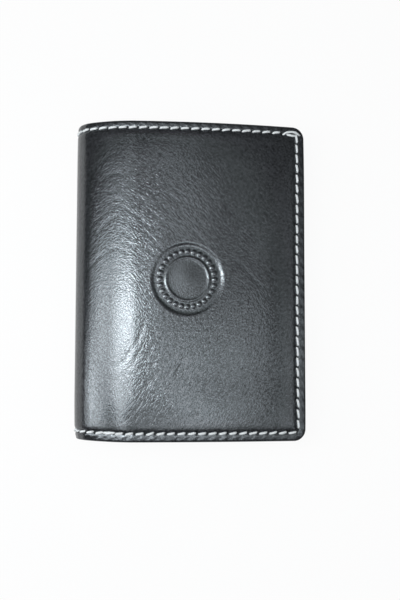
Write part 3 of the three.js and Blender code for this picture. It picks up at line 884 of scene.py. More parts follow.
# %% Make the frame
WINDOW_BORDER = 5.5
LOOP_TURN, LOOP_SIDE, SECTION_TURN, SECTION_FLAT = 9, 41, 6, 8
frame_surface = under_front(film_depth + FILM_THICKNESS + LAYER_GAP + SLOT_LEATHER / 2)


def rounded_loop(low, high, radii):
    """Points round a rectangle from the lower left corner on: quarter circles joined by divided straight sides."""
    (left, bottom), (right, top) = low, high
    turn = np.linspace(0, QUARTER, LOOP_TURN)[:, None]
    share = np.linspace(0, 1, LOOP_SIDE)[1:-1, None]
    places = [
        (left + radii[0], bottom + radii[0], 2), (right - radii[1], bottom + radii[1], 3),
        (right - radii[2], top - radii[2], 0), (left + radii[3], top - radii[3], 1),
    ]
    corners = []
    for (x, y, start), radius in zip(places, radii):
        angle = turn + start * QUARTER
        corners.append((x, y) + radius * np.hstack([np.cos(angle), np.sin(angle)]))
    parts = []
    for here, after in zip(corners, corners[1:] + corners[:1]):
        parts += [here, here[-1] + share * (after[0] - here[-1])]
    return np.concatenate(parts)


def window_frame():
    """The section is flat with round ends: t runs from the outer outline to the opening, the lift is + or - half the
    leather, and at the ends half a circle of steps joins the two."""
    half = SLOT_LEATHER / 2
    outer = rounded_loop(leaf_low[:2], leaf_high[:2], page_corners)
    inner = rounded_loop(leaf_low[:2] + WINDOW_BORDER, leaf_high[:2] - WINDOW_BORDER, (PAGE_CORNER,) * 4)
    inset = half / np.linalg.norm(inner - outer, axis=1, keepdims=True)
    turn = np.linspace(-QUARTER, QUARTER, SECTION_TURN)
    flat = np.linspace(0, 1, SECTION_FLAT)[1:-1]
    way = np.hstack([
        1 - inset + inset * np.cos(turn), 1 - inset - flat * (1 - 2 * inset),
        inset - inset * np.cos(turn), inset + flat * (1 - 2 * inset)])
    lift = half * np.concatenate([np.sin(turn), np.ones_like(flat), -np.sin(turn), -np.ones_like(flat)])
    place = outer[:, None] + way[..., None] * (inner - outer)[:, None]
    points = frame_surface(place[..., 0], place[..., 1], lift)
    number = np.arange(way.size).reshape(way.shape)
    closed = ringed(np.vstack([number, number[:1]]))
    marks = flat_marks(place[..., 0], place[..., 1]).reshape(-1, 3)
    return put_mesh("window_frame_leather", points.reshape(-1, 3), grid_faces(closed), {"grain": marks})


stands_for(window_frame(), "inner_leather", ["window_frame"], "window_page")

# %% [markdown]
# ## The coin pocket
# The back half carries a page with a coin pocket. Its front wall rises from a sewn foot in a soft S, and the sides are
# gussets that fold inwards like bellows. Each is a path in side view, carried straight across, so the surface is the
# place on the path plus a lift along the path's own normal.

# %% A surface along a path
def carried(path, place=lambda u, a, b: (u, a, b)):
    """The surface that a path makes when it is carried sideways, and the path's length. v is the way along the path,
    and place(u, a, b) turns the way sideways and the path's two coordinates into x, y, z."""
    way = np.append(0.0, np.cumsum(np.hypot(*np.diff(path, axis=0).T)))
    ahead = unit(np.gradient(path, way, axis=0))
    aside = np.stack([-ahead[:, 1], ahead[:, 0]], -1)

    def surface(u, v, lift):
        a, b = (np.interp(v, way, path[:, i]) + lift * np.interp(v, way, aside[:, i]) for i in (0, 1))
        return np.stack(np.broadcast_arrays(*place(u, a, b)), -1)

    return surface, way[-1]


def bezier(points, count=24):
    """Points on the curve of some control points, by repeated mixing of neighbours."""
    t = np.linspace(0, 1, count)[:, None]
    level = [np.array(point, float) for point in points]
    while len(level) > 1:
        level = [first + t * (second - first) for first, second in zip(level, level[1:])]
    return level[0]


# %% Make the page and the pocket's wall
WALL_LEATHER, WALL_STEP = 0.8, 0.8
POCKET_FOOT, RAMP_FOOT, RAMP_TOP, POCKET_MOUTH = -53.5, -50.0, -44.0, 18.0
POCKET_LEVEL = 8.6
POCKET_SIDES = (-25.0, 29.0)
page_face = page_depth + PAGE_LEATHER
foot_z = page_face + LAYER_GAP + WALL_LEATHER / 2
ramp_middle = (RAMP_FOOT + RAMP_TOP) / 2


def coin_page_surface(x, y, lift):
    """A flat surface in the middle of the coin page."""
    return np.stack(np.broadcast_arrays(x, y, page_depth + PAGE_LEATHER / 2 + lift), -1)


panel("coin_page_leather", ["coin_page"], "back", coin_page_surface, page_across, page_up, PAGE_LEATHER, page_corners)
wall_surface, wall_length = carried(np.vstack([
    [(POCKET_FOOT, foot_z)],
    bezier([(RAMP_FOOT, foot_z), (ramp_middle, foot_z), (ramp_middle, POCKET_LEVEL), (RAMP_TOP, POCKET_LEVEL)]),
    np.linspace((RAMP_TOP + 1, POCKET_LEVEL), (POCKET_MOUTH, POCKET_LEVEL), 30),
]))
panel("coin_pocket_leather", ["coin_pocket_wall"], "back", wall_surface, POCKET_SIDES, (0, wall_length), WALL_LEATHER,
      step=WALL_STEP, dent=lambda x, way: pressed_line(wall_length, way))

# %% Make the gussets
GUSSET_LEATHER, GUSSET_FOLD = 0.6, 9.0
gusset_low = page_face + LAYER_GAP + GUSSET_LEATHER / 2
gusset_high = POCKET_LEVEL - WALL_LEATHER / 2 - LAYER_GAP - GUSSET_LEATHER / 2
for name, edge, inward in (("left", POCKET_SIDES[0], 1), ("right", POCKET_SIDES[1], -1)):
    side_x, fold_x = edge + inward * GUSSET_LEATHER, edge + inward * GUSSET_FOLD
    fold = bezier([(side_x, gusset_low), (fold_x, (gusset_low + gusset_high) / 2), (side_x, gusset_high)])
    gusset_surface, gusset_length = carried(fold, lambda u, a, b: (a, u, b))
    panel(f"coin_gusset_{name}_leather", [f"coin_gusset_{name}"], "back", gusset_surface, (RAMP_TOP, POCKET_MOUTH),
          (0, gusset_length), GUSSET_LEATHER)

# %% [markdown]
# ## The flap
# The flap is sewn to the page by a strip, rolls up over the pocket's mouth and lies on the snap. Strip and flap are
# one piece of leather again, so the path runs from the tip over the roll and down into the strip.

# %% The flap's path
FLAP_LEATHER, FLAP_HINGE_Z = 0.9, 4.4
ROLL_END, ROLL_ENTRY, ROLL_FOOT = 0.12, 0.5, 0.7
STRIP_BEND, STRIP_FROM, STRIP_FLAT = 0.05, 1.2, 1.6
flap_low, flap_high = node_box("coin_flap")
strip_high_y = node_box("coin_flap_strip")[1][1]
flap_level = flap_high[2] - FLAP_LEATHER / 2
strip_level = page_face + LAYER_GAP + FLAP_LEATHER / 2
roll_y = flap_high[1] - FLAP_LEATHER / 2
roll = flap_level - FLAP_HINGE_Z
roll_turn = np.linspace(QUARTER, ROLL_END, 24)
strip_bend = [
    (roll_y, FLAP_HINGE_Z + ROLL_FOOT), (roll_y + STRIP_BEND, strip_level + STRIP_BEND),
    (roll_y + STRIP_FROM, strip_level)]
flap_surface, flap_length = carried(np.vstack([
    np.linspace((flap_low[1], flap_level), (roll_y - roll - ROLL_ENTRY, flap_level), 30),
    np.stack([roll_y - roll + roll * np.cos(roll_turn), FLAP_HINGE_Z + roll * np.sin(roll_turn)], -1),
    bezier(strip_bend, 8),
    np.linspace((roll_y + STRIP_FLAT, strip_level), (strip_high_y, strip_level), 6),
]))
print("flap and strip", round(flap_length, 1), "mm long")

# %% Make the flap
FLAP_TIP_RADIUS, FLAP_STEP = 11.0, 0.8
coin_flap = panel(
    "coin_flap_leather", ["coin_flap", "coin_flap_strip"], None, flap_surface, (flap_low[0], flap_high[0]),
    (0, flap_length), FLAP_LEATHER, (FLAP_TIP_RADIUS, FLAP_TIP_RADIUS, CUT_CORNER, CUT_CORNER), FLAP_STEP)
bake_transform(coin_flap)

# %% [markdown]
# ## The snap fastener
# A nickel-plated snap holds the flap: cap and socket on the flap, stud and rivet on the pocket's wall. Each is turned
# on a lathe in real life, and here too: a profile of radius and height is carried round the snap's axis.

# %% A turned part
SNAP_X, SNAP_Y = 2.0, -1.5
SNAP_SIDES = 40
snap_parts = []


def soften(profile, reach=0.12, count=4):
    """The profile with each inner corner cut into a small curve, on a bezier through the corner."""
    profile = np.array(profile, float)
    parts = [profile[:1]]
    for before, corner, after in zip(profile, profile[1:], profile[2:]):
        shares = [min(0.4, reach / np.linalg.norm(other - corner)) for other in (before, after)]
        first, last = corner + (before - corner) * shares[0], corner + (after - corner) * shares[1]
        parts.append(bezier([first, corner, last], count))
    return np.vstack([*parts, profile[-1:]])


def turned(name, profile, body):
    """A lathe surface: (r cos a, r sin a, z) about the snap's axis. A profile that starts and ends on the axis is
    closed there by one point and a fan, any other runs round as a ring."""
    angle = np.linspace(0, 2 * np.pi, SNAP_SIDES, endpoint=False)
    on_axis = profile[0][0] == 0
    rings = profile[1:-1] if on_axis else profile[:-1]
    points = np.stack(np.broadcast_arrays(
        SNAP_X + rings[:, :1] * np.cos(angle), SNAP_Y + rings[:, :1] * np.sin(angle), rings[:, 1:]), -1).reshape(-1, 3)
    closed = ringed(np.arange(len(points)).reshape(-1, SNAP_SIDES))
    if on_axis:
        first, last = len(points), len(points) + 1
        points = np.vstack([points, [(SNAP_X, SNAP_Y, profile[end][1]) for end in (0, -1)]])
        faces = grid_faces(closed)
        faces += [(first, b, a) for a, b in zip(closed[0, :-1].tolist(), closed[0, 1:].tolist())]
        faces += [(last, a, b) for a, b in zip(closed[-1, :-1].tolist(), closed[-1, 1:].tolist())]
    else:
        faces = grid_faces(np.vstack([closed, closed[:1]]))
    made = put_mesh(f"{name}_turned", points, faces, {})
    stands_for(made, "nickel", [name], body)
    snap_parts.append(made)


# %% Turn the cap and the socket
POST_RADIUS, SNAP_FIT, STUD_HEAD = 1.0, 0.15, 1.9
DOME_FALL, DOME_POWER = 0.9, 2.4
DOME_GROOVE, DOME_GROOVE_AT, DOME_GROOVE_WIDTH = 0.14, 4.0, 0.35
SOCKET_BEAD = 0.3
SOCKET_FACE = [(2.6, 0), (2.9, SOCKET_BEAD), (3.4, SOCKET_BEAD), (3.7, 0), (4.3, 0)]
cap_low, cap_high = node_box("snap_cap")
cap_radius, cap_foot = cap_high[0] - SNAP_X, cap_low[2]
cap_seat = flap_high[2] + LAYER_GAP
dome_share = np.linspace(1, 0, 12)
dome = np.stack([cap_radius * dome_share, cap_high[2] - DOME_FALL * dome_share**DOME_POWER], -1)
dome[:, 1] -= DOME_GROOVE * bell(dome[:, 0] - DOME_GROOVE_AT, DOME_GROOVE_WIDTH)
turned("snap_cap", soften([
    (0, cap_foot), (POST_RADIUS, cap_foot), (POST_RADIUS, cap_seat), (cap_radius, cap_seat), *dome]), "coin_flap")
socket_low, socket_high = node_box("snap_socket")
socket_radius, socket_foot, socket_top = socket_high[0] - SNAP_X, socket_low[2], socket_high[2]
bore, recess = POST_RADIUS + SNAP_FIT, STUD_HEAD + SNAP_FIT
turned("snap_socket", soften([
    (bore, cap_foot), (recess, cap_foot), (recess, socket_foot), *((r, socket_foot + up) for r, up in SOCKET_FACE),
    (socket_radius, socket_foot + SOCKET_BEAD), (socket_radius, socket_top), (bore, socket_top), (bore, cap_foot),
]), "coin_flap")

# %% Turn the stud and the rivet
STUD_CORNERS, STUD_PLATE, STUD_WAIST, STUD_BULGE = 0.15, 0.4, 0.7, 1.1
STUD_NECK, STUD_FOOT = 1.6, 4.2
RIVET_HEAD, RIVET_PLATE = 3.7, 0.35
(_, _, stud_foot), (_, _, stud_top) = node_box("snap_stud")
(_, _, rivet_foot), (_, _, rivet_top) = node_box("snap_rivet")
turned("snap_stud", soften([
    (0, rivet_top + SNAP_FIT), (bore, rivet_top + SNAP_FIT), (bore, stud_foot), (STUD_FOOT, stud_foot),
    (STUD_FOOT, stud_foot + STUD_PLATE), (STUD_NECK, stud_foot + STUD_PLATE), (STUD_NECK, stud_foot + STUD_WAIST),
    (STUD_HEAD, stud_foot + STUD_BULGE), (STUD_NECK, stud_top), (0, stud_top)], STUD_CORNERS), "back")
turned("snap_rivet", soften([
    (0, rivet_foot), (RIVET_HEAD, rivet_foot), (RIVET_HEAD, rivet_foot + RIVET_PLATE),
    (POST_RADIUS, rivet_foot + RIVET_PLATE), (POST_RADIUS, rivet_top), (0, rivet_top)]), "back")

# %% [markdown]
# ## Seams inside
# The same white thread holds the panels: down the sides of the slots, round the window, along the hinge strip and the
# edges of the pages, round the flap, and along the foot and the sides of the pocket. The rows lie on the panels' own
# surfaces, between points that are listed here on the flat leather.

# %% Sew the front half
INNER_THREAD, FIRST_INNER_SEED = 0.3, 5
ROW_INSET, ROW_START, MOUTH_GAP, SLOT_GAP = 1.8, 3, 0.4, 0.6
inner_seams = []


def sew(name, body, surface, thickness, lines, outside=1.0, more_rows=()):
    """Thread on the face of a panel: a row of stitches between every two points that follow each other on a line."""
    rows = [row_of_stitches(start, stop) for line in lines for start, stop in zip(line, line[1:])]
    seam = thread_seam(name, lambda u, v: surface(u, v, thickness / 2), [*rows, *more_rows],
                       FIRST_INNER_SEED + len(inner_seams), outside, INNER_THREAD)
    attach(seam, body)
    inner_seams.append(seam)


(left, bottom), (right, top) = leaf_low[:2] + ROW_INSET, leaf_high[:2] - ROW_INSET
loop = [(left, bottom), (right, bottom), (right, top), (left, top), (left, bottom)]
sew("window_seam", "window_page", frame_surface, SLOT_LEATHER, [loop], -1.0)
strip_x = strip_low[0] + ROW_INSET
sew("hinge_strip_seam", "front", leaf_surface, SLOT_LEATHER, [[(strip_x, bottom), (strip_x, top)]], -1.0)
slot_left = slots[0][0][0] + ROW_INSET
for number, (low, high, surface) in zip(SLOTS, slots):
    bottom = (slots[number][1][1] if number < SLOTS[-1] else low[1]) + SLOT_GAP
    right, top, foot = high[0] - ROW_INSET, high[1] - MOUTH_GAP, low[1] + ROW_INSET
    right_line = [(right, bottom), (right, top)]
    if number == SLOTS[-1]:
        right_line = [(slot_left, foot), (right, foot), (right, top)]
    sew(f"slot_{number}_seam", "front", surface, SLOT_LEATHER, [[(slot_left, bottom), (slot_left, top)], right_line],
        -1.0)

# %% Sew the pages and the pocket
PAGE_ROW_END, WALL_ROW_INSET, WALL_ROW_FROM, ROW_MARGIN = 2, 1.2, 12, 1
page_left, page_right, page_top = page_across[0] + ROW_INSET, page_across[1] - ROW_INSET, page_up[1] - ROW_INSET
start_y, end_y = page_up[0] + ROW_START, page_up[1] - ROW_START
top_line = [(page_across[1] - ROW_START, page_top), (page_across[0] + PAGE_ROW_END, page_top)]
above_slots = slots[0][1][1] + ROW_MARGIN
sew("card_page_seam", "front", card_page_surface, PAGE_LEATHER,
    [[(page_right, above_slots), (page_right, end_y)], top_line], -1.0)
sew("coin_page_seam", "back", coin_page_surface, PAGE_LEATHER,
    [[(page_right, start_y), (page_right, end_y)], top_line, [(page_left, end_y), (page_left, start_y)]])
wall_left, wall_right = POCKET_SIDES
wall_lines = [[(wall_left + ROW_MARGIN, ROW_INSET), (wall_right - ROW_MARGIN, ROW_INSET)]]
for x in (wall_left + WALL_ROW_INSET, wall_right - WALL_ROW_INSET):
    wall_lines.append([(x, WALL_ROW_FROM), (x, wall_length - ROW_MARGIN)])
sew("pocket_foot_seam", "back", wall_surface, WALL_LEATHER, wall_lines)

# %% Sew the flap
FLAP_ROW_END = 4
flap_left, flap_right = flap_low[0] + ROW_INSET, flap_high[0] - ROW_INSET
tip_radius = FLAP_TIP_RADIUS - ROW_INSET
tip_y = ROW_INSET + tip_radius
flap_side_top = flap_length - (strip_high_y - roll_y) - FLAP_ROW_END
strip_row = flap_length - ROW_INSET


def tip_row(centre, start):
    """Stitches round a corner of the flap's tip: centre + radius x (cos, sin) over a quarter turn."""
    count = int(np.round(QUARTER * tip_radius / STITCH_PITCH))
    turn = start + (np.arange(count) + 0.5) / count * QUARTER
    middle = np.stack([centre + tip_radius * np.cos(turn), tip_y + tip_radius * np.sin(turn)], -1)
    return middle, turn + QUARTER, np.full(count, STITCH_SHARE * QUARTER * tip_radius / count), np.zeros(count)


sew("flap_seam", "coin_flap", flap_surface, FLAP_LEATHER, [
    [(flap_left, flap_side_top), (flap_left, tip_y)],
    [(flap_left + tip_radius, ROW_INSET), (flap_right - tip_radius, ROW_INSET)],
    [(flap_right, tip_y), (flap_right, flap_side_top)],
], more_rows=[tip_row(flap_left + tip_radius, 2 * QUARTER), tip_row(flap_right - tip_radius, 3 * QUARTER)])
sew("flap_strip_seam", "back", flap_surface, FLAP_LEATHER,
    [[(flap_low[0] + ROW_MARGIN, strip_row), (flap_high[0] - ROW_MARGIN, strip_row)]])

# %% [markdown]
# ## Materials from nodes
# Each material is a small tree of nodes. A few helpers keep the code short: one adds a node and fills its inputs with
# values or with other nodes' outputs, one does arithmetic, and the rest are nodes that come up again and again.

# %% Helpers for node trees
def plug(tree, socket, value):
    """A plain value, or a link from another node's output, into a socket."""
    if isinstance(value, bpy.types.NodeSocket):
        tree.links.new(value, socket)
    else:
        socket.default_value = value


def feed(tree, node, **inputs):
    """Values and outputs into a node's sockets, named with _ for their spaces."""
    for name, value in inputs.items():
        plug(tree, node.inputs[name.replace("_", " ")], value)


def add(tree, kind, settings=None, **inputs):
    """A shader node of that kind, with its settings and its inputs."""
    made = tree.nodes.new("ShaderNode" + kind)
    for name, value in (settings or {}).items():
        setattr(made, name, value)
    feed(tree, made, **inputs)
    return made


def calc(tree, operation, *terms, kind="Math"):
    """The result of a Math or VectorMath node on values or outputs."""
    made = add(tree, kind, {"operation": operation})
    for socket, value in zip(made.inputs, terms):
        plug(tree, socket, value)
    return made.outputs[0]


def mix_colours(tree, factor, first, second):
    """A colour between two colours, which are a Mix node's sockets 6 and 7. The others are for other kinds of data."""
    made = add(tree, "Mix", {"data_type": "RGBA"})
    for place, value in ((0, factor), (6, first), (7, second)):
        plug(tree, made.inputs[place], value)
    return made.outputs[2]


# %% Nodes that come up again
def ramp(tree, value, low, high, to_low=0.0, to_high=1.0):
    """A value mapped from one range to another, and kept inside it."""
    return add(tree, "MapRange", Value=value, From_Min=low, From_Max=high, To_Min=to_low, To_Max=to_high).outputs[0]


def mark(tree, name):
    """The vector that the mesh carries under that name."""
    return add(tree, "Attribute", {"attribute_name": name}).outputs["Vector"]


def axes(tree, vector):
    """The X, Y and Z of a vector."""
    return add(tree, "SeparateXYZ", Vector=vector).outputs


def noise(tree, place, scale, detail, rough=0.5):
    """Smooth values from 0 to 1 that differ from place to place. Detail adds finer noise, as strong as rough says."""
    return add(tree, "TexNoise", Vector=place, Scale=scale, Detail=detail, Roughness=rough).outputs[0]


def bump(tree, height, distance, strength=1.0):
    """A normal that leans as the height does. distance is how far up a height of 1 is."""
    return add(tree, "Bump", Strength=strength, Distance=distance, Height=height).outputs[0]


def new_material(name):
    """A new material, its node tree and its shader."""
    made = bpy.data.materials.new(name)
    made.use_nodes = True
    return made, made.node_tree, made.node_tree.nodes["Principled BSDF"]


def dress(material, pieces):
    """The material on some pieces."""
    for piece in pieces:
        piece.data.materials.append(material)
    print(material.name, len(material.node_tree.nodes), "nodes, on", len(pieces), "pieces")


# %% [markdown]
# ## Black leather
# Full-grain leather is covered in small pebbles, parted by fine furrows. Where the hide is loose the pebbles are drawn
# out into ridges. The grain is cells and noise on the flat leather's own coordinates, so it stays on the leather when
# the wallet opens, and the ridges are noise on the coordinates of the flow, squeezed across it. Furrows are darker,
# which is painted shade, and duller; ridges are a little brighter, as rubbed leather is, and more polished. Needle
# holes are painted black, which is painted shade too.

# %% Pebbles, ridges and needle holes
WANDER_SCALE, WANDER_REACH = 0.55, 0.9
CELL_SMOOTHNESS, FURROW = 0.6, (0.25, 0.7)
FINE_SCALE, FINE_NOISE, FINE_SHARE = 1.6, (3.0, 0.6), 0.6
RIDGE_ACROSS, RIDGE_ALONG, RIDGE_DETAIL = 2.2, 0.7, 1.5
HOLE_RIM = (0.35, 0.6)


def pebbles(tree, flat, size):
    """Height and raised share of the pebbles: smooth cells on coordinates that wander, with fine noise on top."""
    wander = add(tree, "TexNoise", Vector=flat, Scale=WANDER_SCALE / size, Detail=2.0).outputs["Color"]
    bent = calc(tree, "MULTIPLY_ADD", wander, (WANDER_REACH * size,) * 3, flat, kind="VectorMath")
    cells = add(tree, "TexVoronoi", {"feature": "SMOOTH_F1"}, Vector=bent, Scale=1 / size, Smoothness=CELL_SMOOTHNESS)
    away = cells.outputs["Distance"]
    fine = calc(tree, "MULTIPLY", noise(tree, flat, FINE_SCALE / size, *FINE_NOISE), FINE_SHARE)
    return calc(tree, "SUBTRACT", fine, away), ramp(tree, away, *FURROW, 1.0, 0.0)


def drawn_ridges(tree):
    """Height of the ridges: noise that is squeezed across the flow of the grain."""
    squeezed = add(tree, "Mapping", Vector=mark(tree, "flow"), Scale=(RIDGE_ACROSS, RIDGE_ALONG, 1.0))
    return noise(tree, squeezed.outputs[0], 1.0, RIDGE_DETAIL)


def off_hole_shade(tree):
    """0 in a needle hole and 1 outside: the distance sqrt(a^2 + b^2), along the row and across it."""
    seam = axes(tree, mark(tree, "seam"))
    along = calc(tree, "MULTIPLY", calc(tree, "PINGPONG", seam["X"], 0.5), STITCH_PITCH)
    squares = (calc(tree, "POWER", way, 2.0) for way in (along, seam["Z"]))
    return ramp(tree, calc(tree, "SQRT", calc(tree, "ADD", *squares)), *HOLE_RIM)


# %% The outer leather
LEATHER_IOR, POLISH, COOL_SHINE = 1.75, 0.66, (0.93, 0.97, 1.0, 1)
EVEN_CONTRAST, LOOSE_CONTRAST = 0.3, (0.2, 0.75, 0.14, 0.37)
RIDGE_SHARE, RIDGE_FLANKS, PEBBLE_SHARE = (0.2, 1.0, 0.1, 0.5), (0.35, 0.65), 1.1
BROAD_NOISE, BROAD_RANGE = (0.11, 3.0, 0.55), (0.3, 0.7)
DULLER, SHINIER = 0.02, 0.01
# Painted shade: the black painted into the needle holes.
HOLE_SHADE_BLACK = (0.001, 0.001, 0.001, 1)
# The darker colour fills the furrows as painted shade, the lighter one lies on the rubbed tops.
BLACK_DYE_FURROW_SHADE = ((0.002, 0.0021, 0.0023, 1), (0.032, 0.033, 0.036, 1))


def leather(name, dye_and_furrow_shade, pebble, depth, dull, ridge_depth=0.0, hole_shade=False):
    """Dyed leather. pebble is the size of its grain, depth the height of the pebbles and ridge_depth that of the
    drawn-out ridges, all in millimetres. The polish follows the grain, and its socket also holds the mean, which the
    export keeps."""
    material, tree, shader = new_material(name)
    place = mark(tree, "grain")
    flat = add(tree, "Mapping", Vector=place, Scale=(1, 1, 0)).outputs[0]
    grain, raised = pebbles(tree, flat, pebble)
    height, contrast = calc(tree, "MULTIPLY", grain, depth), EVEN_CONTRAST
    if ridge_depth:
        loose, ridges = axes(tree, place)["Z"], drawn_ridges(tree)
        drawn = calc(tree, "MULTIPLY", ridges, calc(tree, "MULTIPLY", loose, ridge_depth))
        share = ramp(tree, loose, *RIDGE_SHARE)
        height = calc(tree, "MULTIPLY", height, calc(tree, "SUBTRACT", PEBBLE_SHARE, share))
        height = calc(tree, "ADD", height, drawn)
        raised = add(tree, "Mix", A=raised, B=ramp(tree, ridges, *RIDGE_FLANKS), Factor=share).outputs[0]
        contrast = ramp(tree, loose, *LOOSE_CONTRAST)
    # Darker in the furrows, lighter on the tops: painted shade in the furrows, and rubbed tops.
    colour = mix_colours(tree, raised, *dye_and_furrow_shade)
    rough = ramp(tree, noise(tree, flat, *BROAD_NOISE), *BROAD_RANGE, dull - SHINIER, dull + DULLER)
    # The needle holes get painted black shade, and are made rough.
    if hole_shade:
        unshaded_by_hole = off_hole_shade(tree)
        colour = mix_colours(tree, unshaded_by_hole, HOLE_SHADE_BLACK, colour)
        rough = calc(tree, "MAXIMUM", rough, calc(tree, "SUBTRACT", 1.0, unshaded_by_hole))
    feed(tree, shader, Base_Color=colour, Roughness=rough, Normal=bump(tree, height, MM), IOR=LEATHER_IOR,
         Specular_IOR_Level=POLISH, Specular_Tint=COOL_SHINE)
    polish = calc(tree, "MULTIPLY_ADD", calc(tree, "SUBTRACT", raised, 0.5), contrast, POLISH)
    feed(tree, shader, Specular_IOR_Level=polish)
    return material


outer = leather("black_leather", BLACK_DYE_FURROW_SHADE, pebble=0.55, depth=0.03, dull=0.17, ridge_depth=0.085, hole_shade=True)
dress(outer, [front_hide, back_hide])

# %% [markdown]
# ## White thread
# The thread is waxed polyester, white and a little soft. Its plies are in the mesh already; a fine wave along the helix
# adds the fibres, with grey painted shade in the grooves between them, and each stitch is a slightly different white.

# %% The thread
THREAD_WHITES = ((0.93, 0.93, 0.92, 1), (0.98, 0.98, 0.97, 1))
# Grey in the grooves between the fibres: painted shade.
THREAD_GROOVE_SHADE, GROOVE_SHADE_RAMP = (0.6, 0.6, 0.61, 1), (-1.0, 0.2, 0.8, 1.0)
HELIX_PITCH, FIBRES, FIBRE_BUMP = 9.0, 2.0, (0.05 * MM, 0.6)
THREAD_ROUGHNESS = 0.6


def thread():
    """White thread with fine fibres along its twist, read from the tube's own coordinates."""
    material, tree, shader = new_material("white_thread")
    along, turn, stitch = axes(tree, mark(tree, "thread"))
    helix = calc(tree, "ADD", calc(tree, "MULTIPLY", along, HELIX_PITCH), turn)
    fibres = calc(tree, "SINE", calc(tree, "MULTIPLY", helix, FIBRES))
    shade = mix_colours(tree, stitch, *THREAD_WHITES)
    # Painted shade: grey where the fibres dip.
    colour = mix_colours(tree, ramp(tree, fibres, *GROOVE_SHADE_RAMP), THREAD_GROOVE_SHADE, shade)
    feed(tree, shader, Base_Color=colour, Roughness=THREAD_ROUGHNESS, Normal=bump(tree, fibres, *FIBRE_BUMP))
    return material


dress(thread(), [front_seam, back_seam, *inner_seams])

# %% [markdown]
# ## Inner leather, lining, film and nickel
# The inner leather is the same black, thinner and finer in grain. The lining is a twill: its threads run in two
# directions and the fine steps between them make diagonal ribs. The film is a clear plastic with faint waves, and the
# nickel a brushed plating.

# %% The inner leather and the twill
# The darker colour fills the furrows as painted shade, the lighter one lies on the tops.
INNER_DYE_FURROW_SHADE = ((0.008, 0.0085, 0.0095, 1), (0.016, 0.017, 0.019, 1))
# The darker black lies low between the ribs as painted shade, the lighter one on the rib tops.
TWILL_BLACKS_RIB_SHADE = ((0.006, 0.006, 0.007, 1), (0.03, 0.031, 0.034, 1))
RIBS, WEFT, WEFT_SHARE, RIB_SHADE_RANGE = 9.0, 24.0, 0.5, (-1.2, 1.9)
SLUB_NOISE, TWILL_BUMP = (0.8, 4.0), (0.06 * MM, 0.9)
TWILL_ROUGHNESS, TWILL_SHEEN = 0.85, 0.2


def twill():
    """Black cloth with diagonal ribs: a wave on x + y of the flat cloth, broken by the threads that cross it."""
    material, tree, shader = new_material("black_twill")
    place = mark(tree, "grain")
    across, up, _ = axes(tree, place)
    rib = calc(tree, "SINE", calc(tree, "MULTIPLY", calc(tree, "ADD", across, up), RIBS))
    weft = calc(tree, "SINE", calc(tree, "MULTIPLY", up, WEFT))
    height = calc(tree, "ADD", rib, calc(tree, "MULTIPLY", weft, WEFT_SHARE))
    slub = noise(tree, place, *SLUB_NOISE)
    # Darker low between the ribs, which is painted shade, with slubs of random tone.
    colour = mix_colours(tree, ramp(tree, calc(tree, "ADD", height, slub), *RIB_SHADE_RANGE), *TWILL_BLACKS_RIB_SHADE)
    feed(tree, shader, Base_Color=colour, Roughness=TWILL_ROUGHNESS, Normal=bump(tree, height, *TWILL_BUMP),
         Sheen_Weight=TWILL_SHEEN)
    return material


dress(leather("inner_leather", INNER_DYE_FURROW_SHADE, pebble=0.5, depth=0.04, dull=0.42), leather_panels)
dress(twill(), [front_lining, back_lining])

# %% The film and the nickel
FILM_TINT, FILM_IOR = (0.93, 0.95, 0.96, 1), 1.45
WAVE_NOISE, WAVE_BUMP = (0.06, 2.0), (0.4 * MM, 0.5)
SCUFF_NOISE, SCUFFED = (1.2, 5.0, 0.7), (0.45, 0.75, 0.04, 0.22)
NICKELS = ((0.58, 0.57, 0.55, 1), (0.68, 0.67, 0.65, 1))
BRUSHING, BRUSH_BUMP = 9000.0, (0.01 * MM, 0.25)
WEAR_NOISE, WORN = (900.0, 4.0), (0.35, 0.7, 0.18, 0.34)


def clear_film():
    """Clear plastic: it lets the light through, with faint waves and scuffs."""
    material, tree, shader = new_material("clear_film")
    place = mark(tree, "grain")
    waves, scuffs = noise(tree, place, *WAVE_NOISE), noise(tree, place, *SCUFF_NOISE)
    feed(tree, shader, Base_Color=FILM_TINT, Roughness=ramp(tree, scuffs, *SCUFFED), IOR=FILM_IOR,
         Normal=bump(tree, waves, *WAVE_BUMP), Transmission_Weight=1.0)
    return material


def nickel():
    """Bright plating with a fine brushing round the axis, noise on the distance from it, and small wear."""
    material, tree, shader = new_material("nickel")
    place = add(tree, "TexCoord").outputs["Object"]
    centred = add(tree, "Mapping", Vector=place, Location=(-SNAP_X * MM, -SNAP_Y * MM, 0)).outputs[0]
    flat = calc(tree, "MULTIPLY", centred, (1, 1, 0), kind="VectorMath")
    out = add(tree, "VectorMath", {"operation": "LENGTH"}, Vector=flat).outputs["Value"]
    rings = add(tree, "TexNoise", {"noise_dimensions": "1D"}, W=out, Scale=BRUSHING, Detail=2.0).outputs[0]
    wear = noise(tree, place, *WEAR_NOISE)
    feed(tree, shader, Base_Color=mix_colours(tree, wear, *NICKELS), Metallic=1.0, Roughness=ramp(tree, wear, *WORN),
         Normal=bump(tree, rings, *BRUSH_BUMP))
    return material


dress(clear_film(), [window_film])
dress(nickel(), snap_parts)

# %% [markdown]
# ## Floor and light
# The photograph is taken on white, under a soft light from the left that leaves a long highlight on the shoulder. The
# floor is white and keeps a faint shadow; to the camera and in reflections most of its white is its own glow, which
# lights nothing else. Such a light falls off softly from a bright middle, which one lamp can't do, so it is rows of
# soft panels side by side, the brightest to the left of the camera. The room is a plain grey, which the camera sees as
# white.

# %% The floor and the room
FLOOR_SIZE, FLOOR_DROP = 3.0, 0.1 * MM
FLOOR_PAINT, FLOOR_GLOW, MIRRORED_GLOW = (0.9, 0.9, 0.9, 1), 0.94, 0.82
WHITE, ROOM = (1, 1, 1, 1), (0.1, 0.103, 0.107, 1)


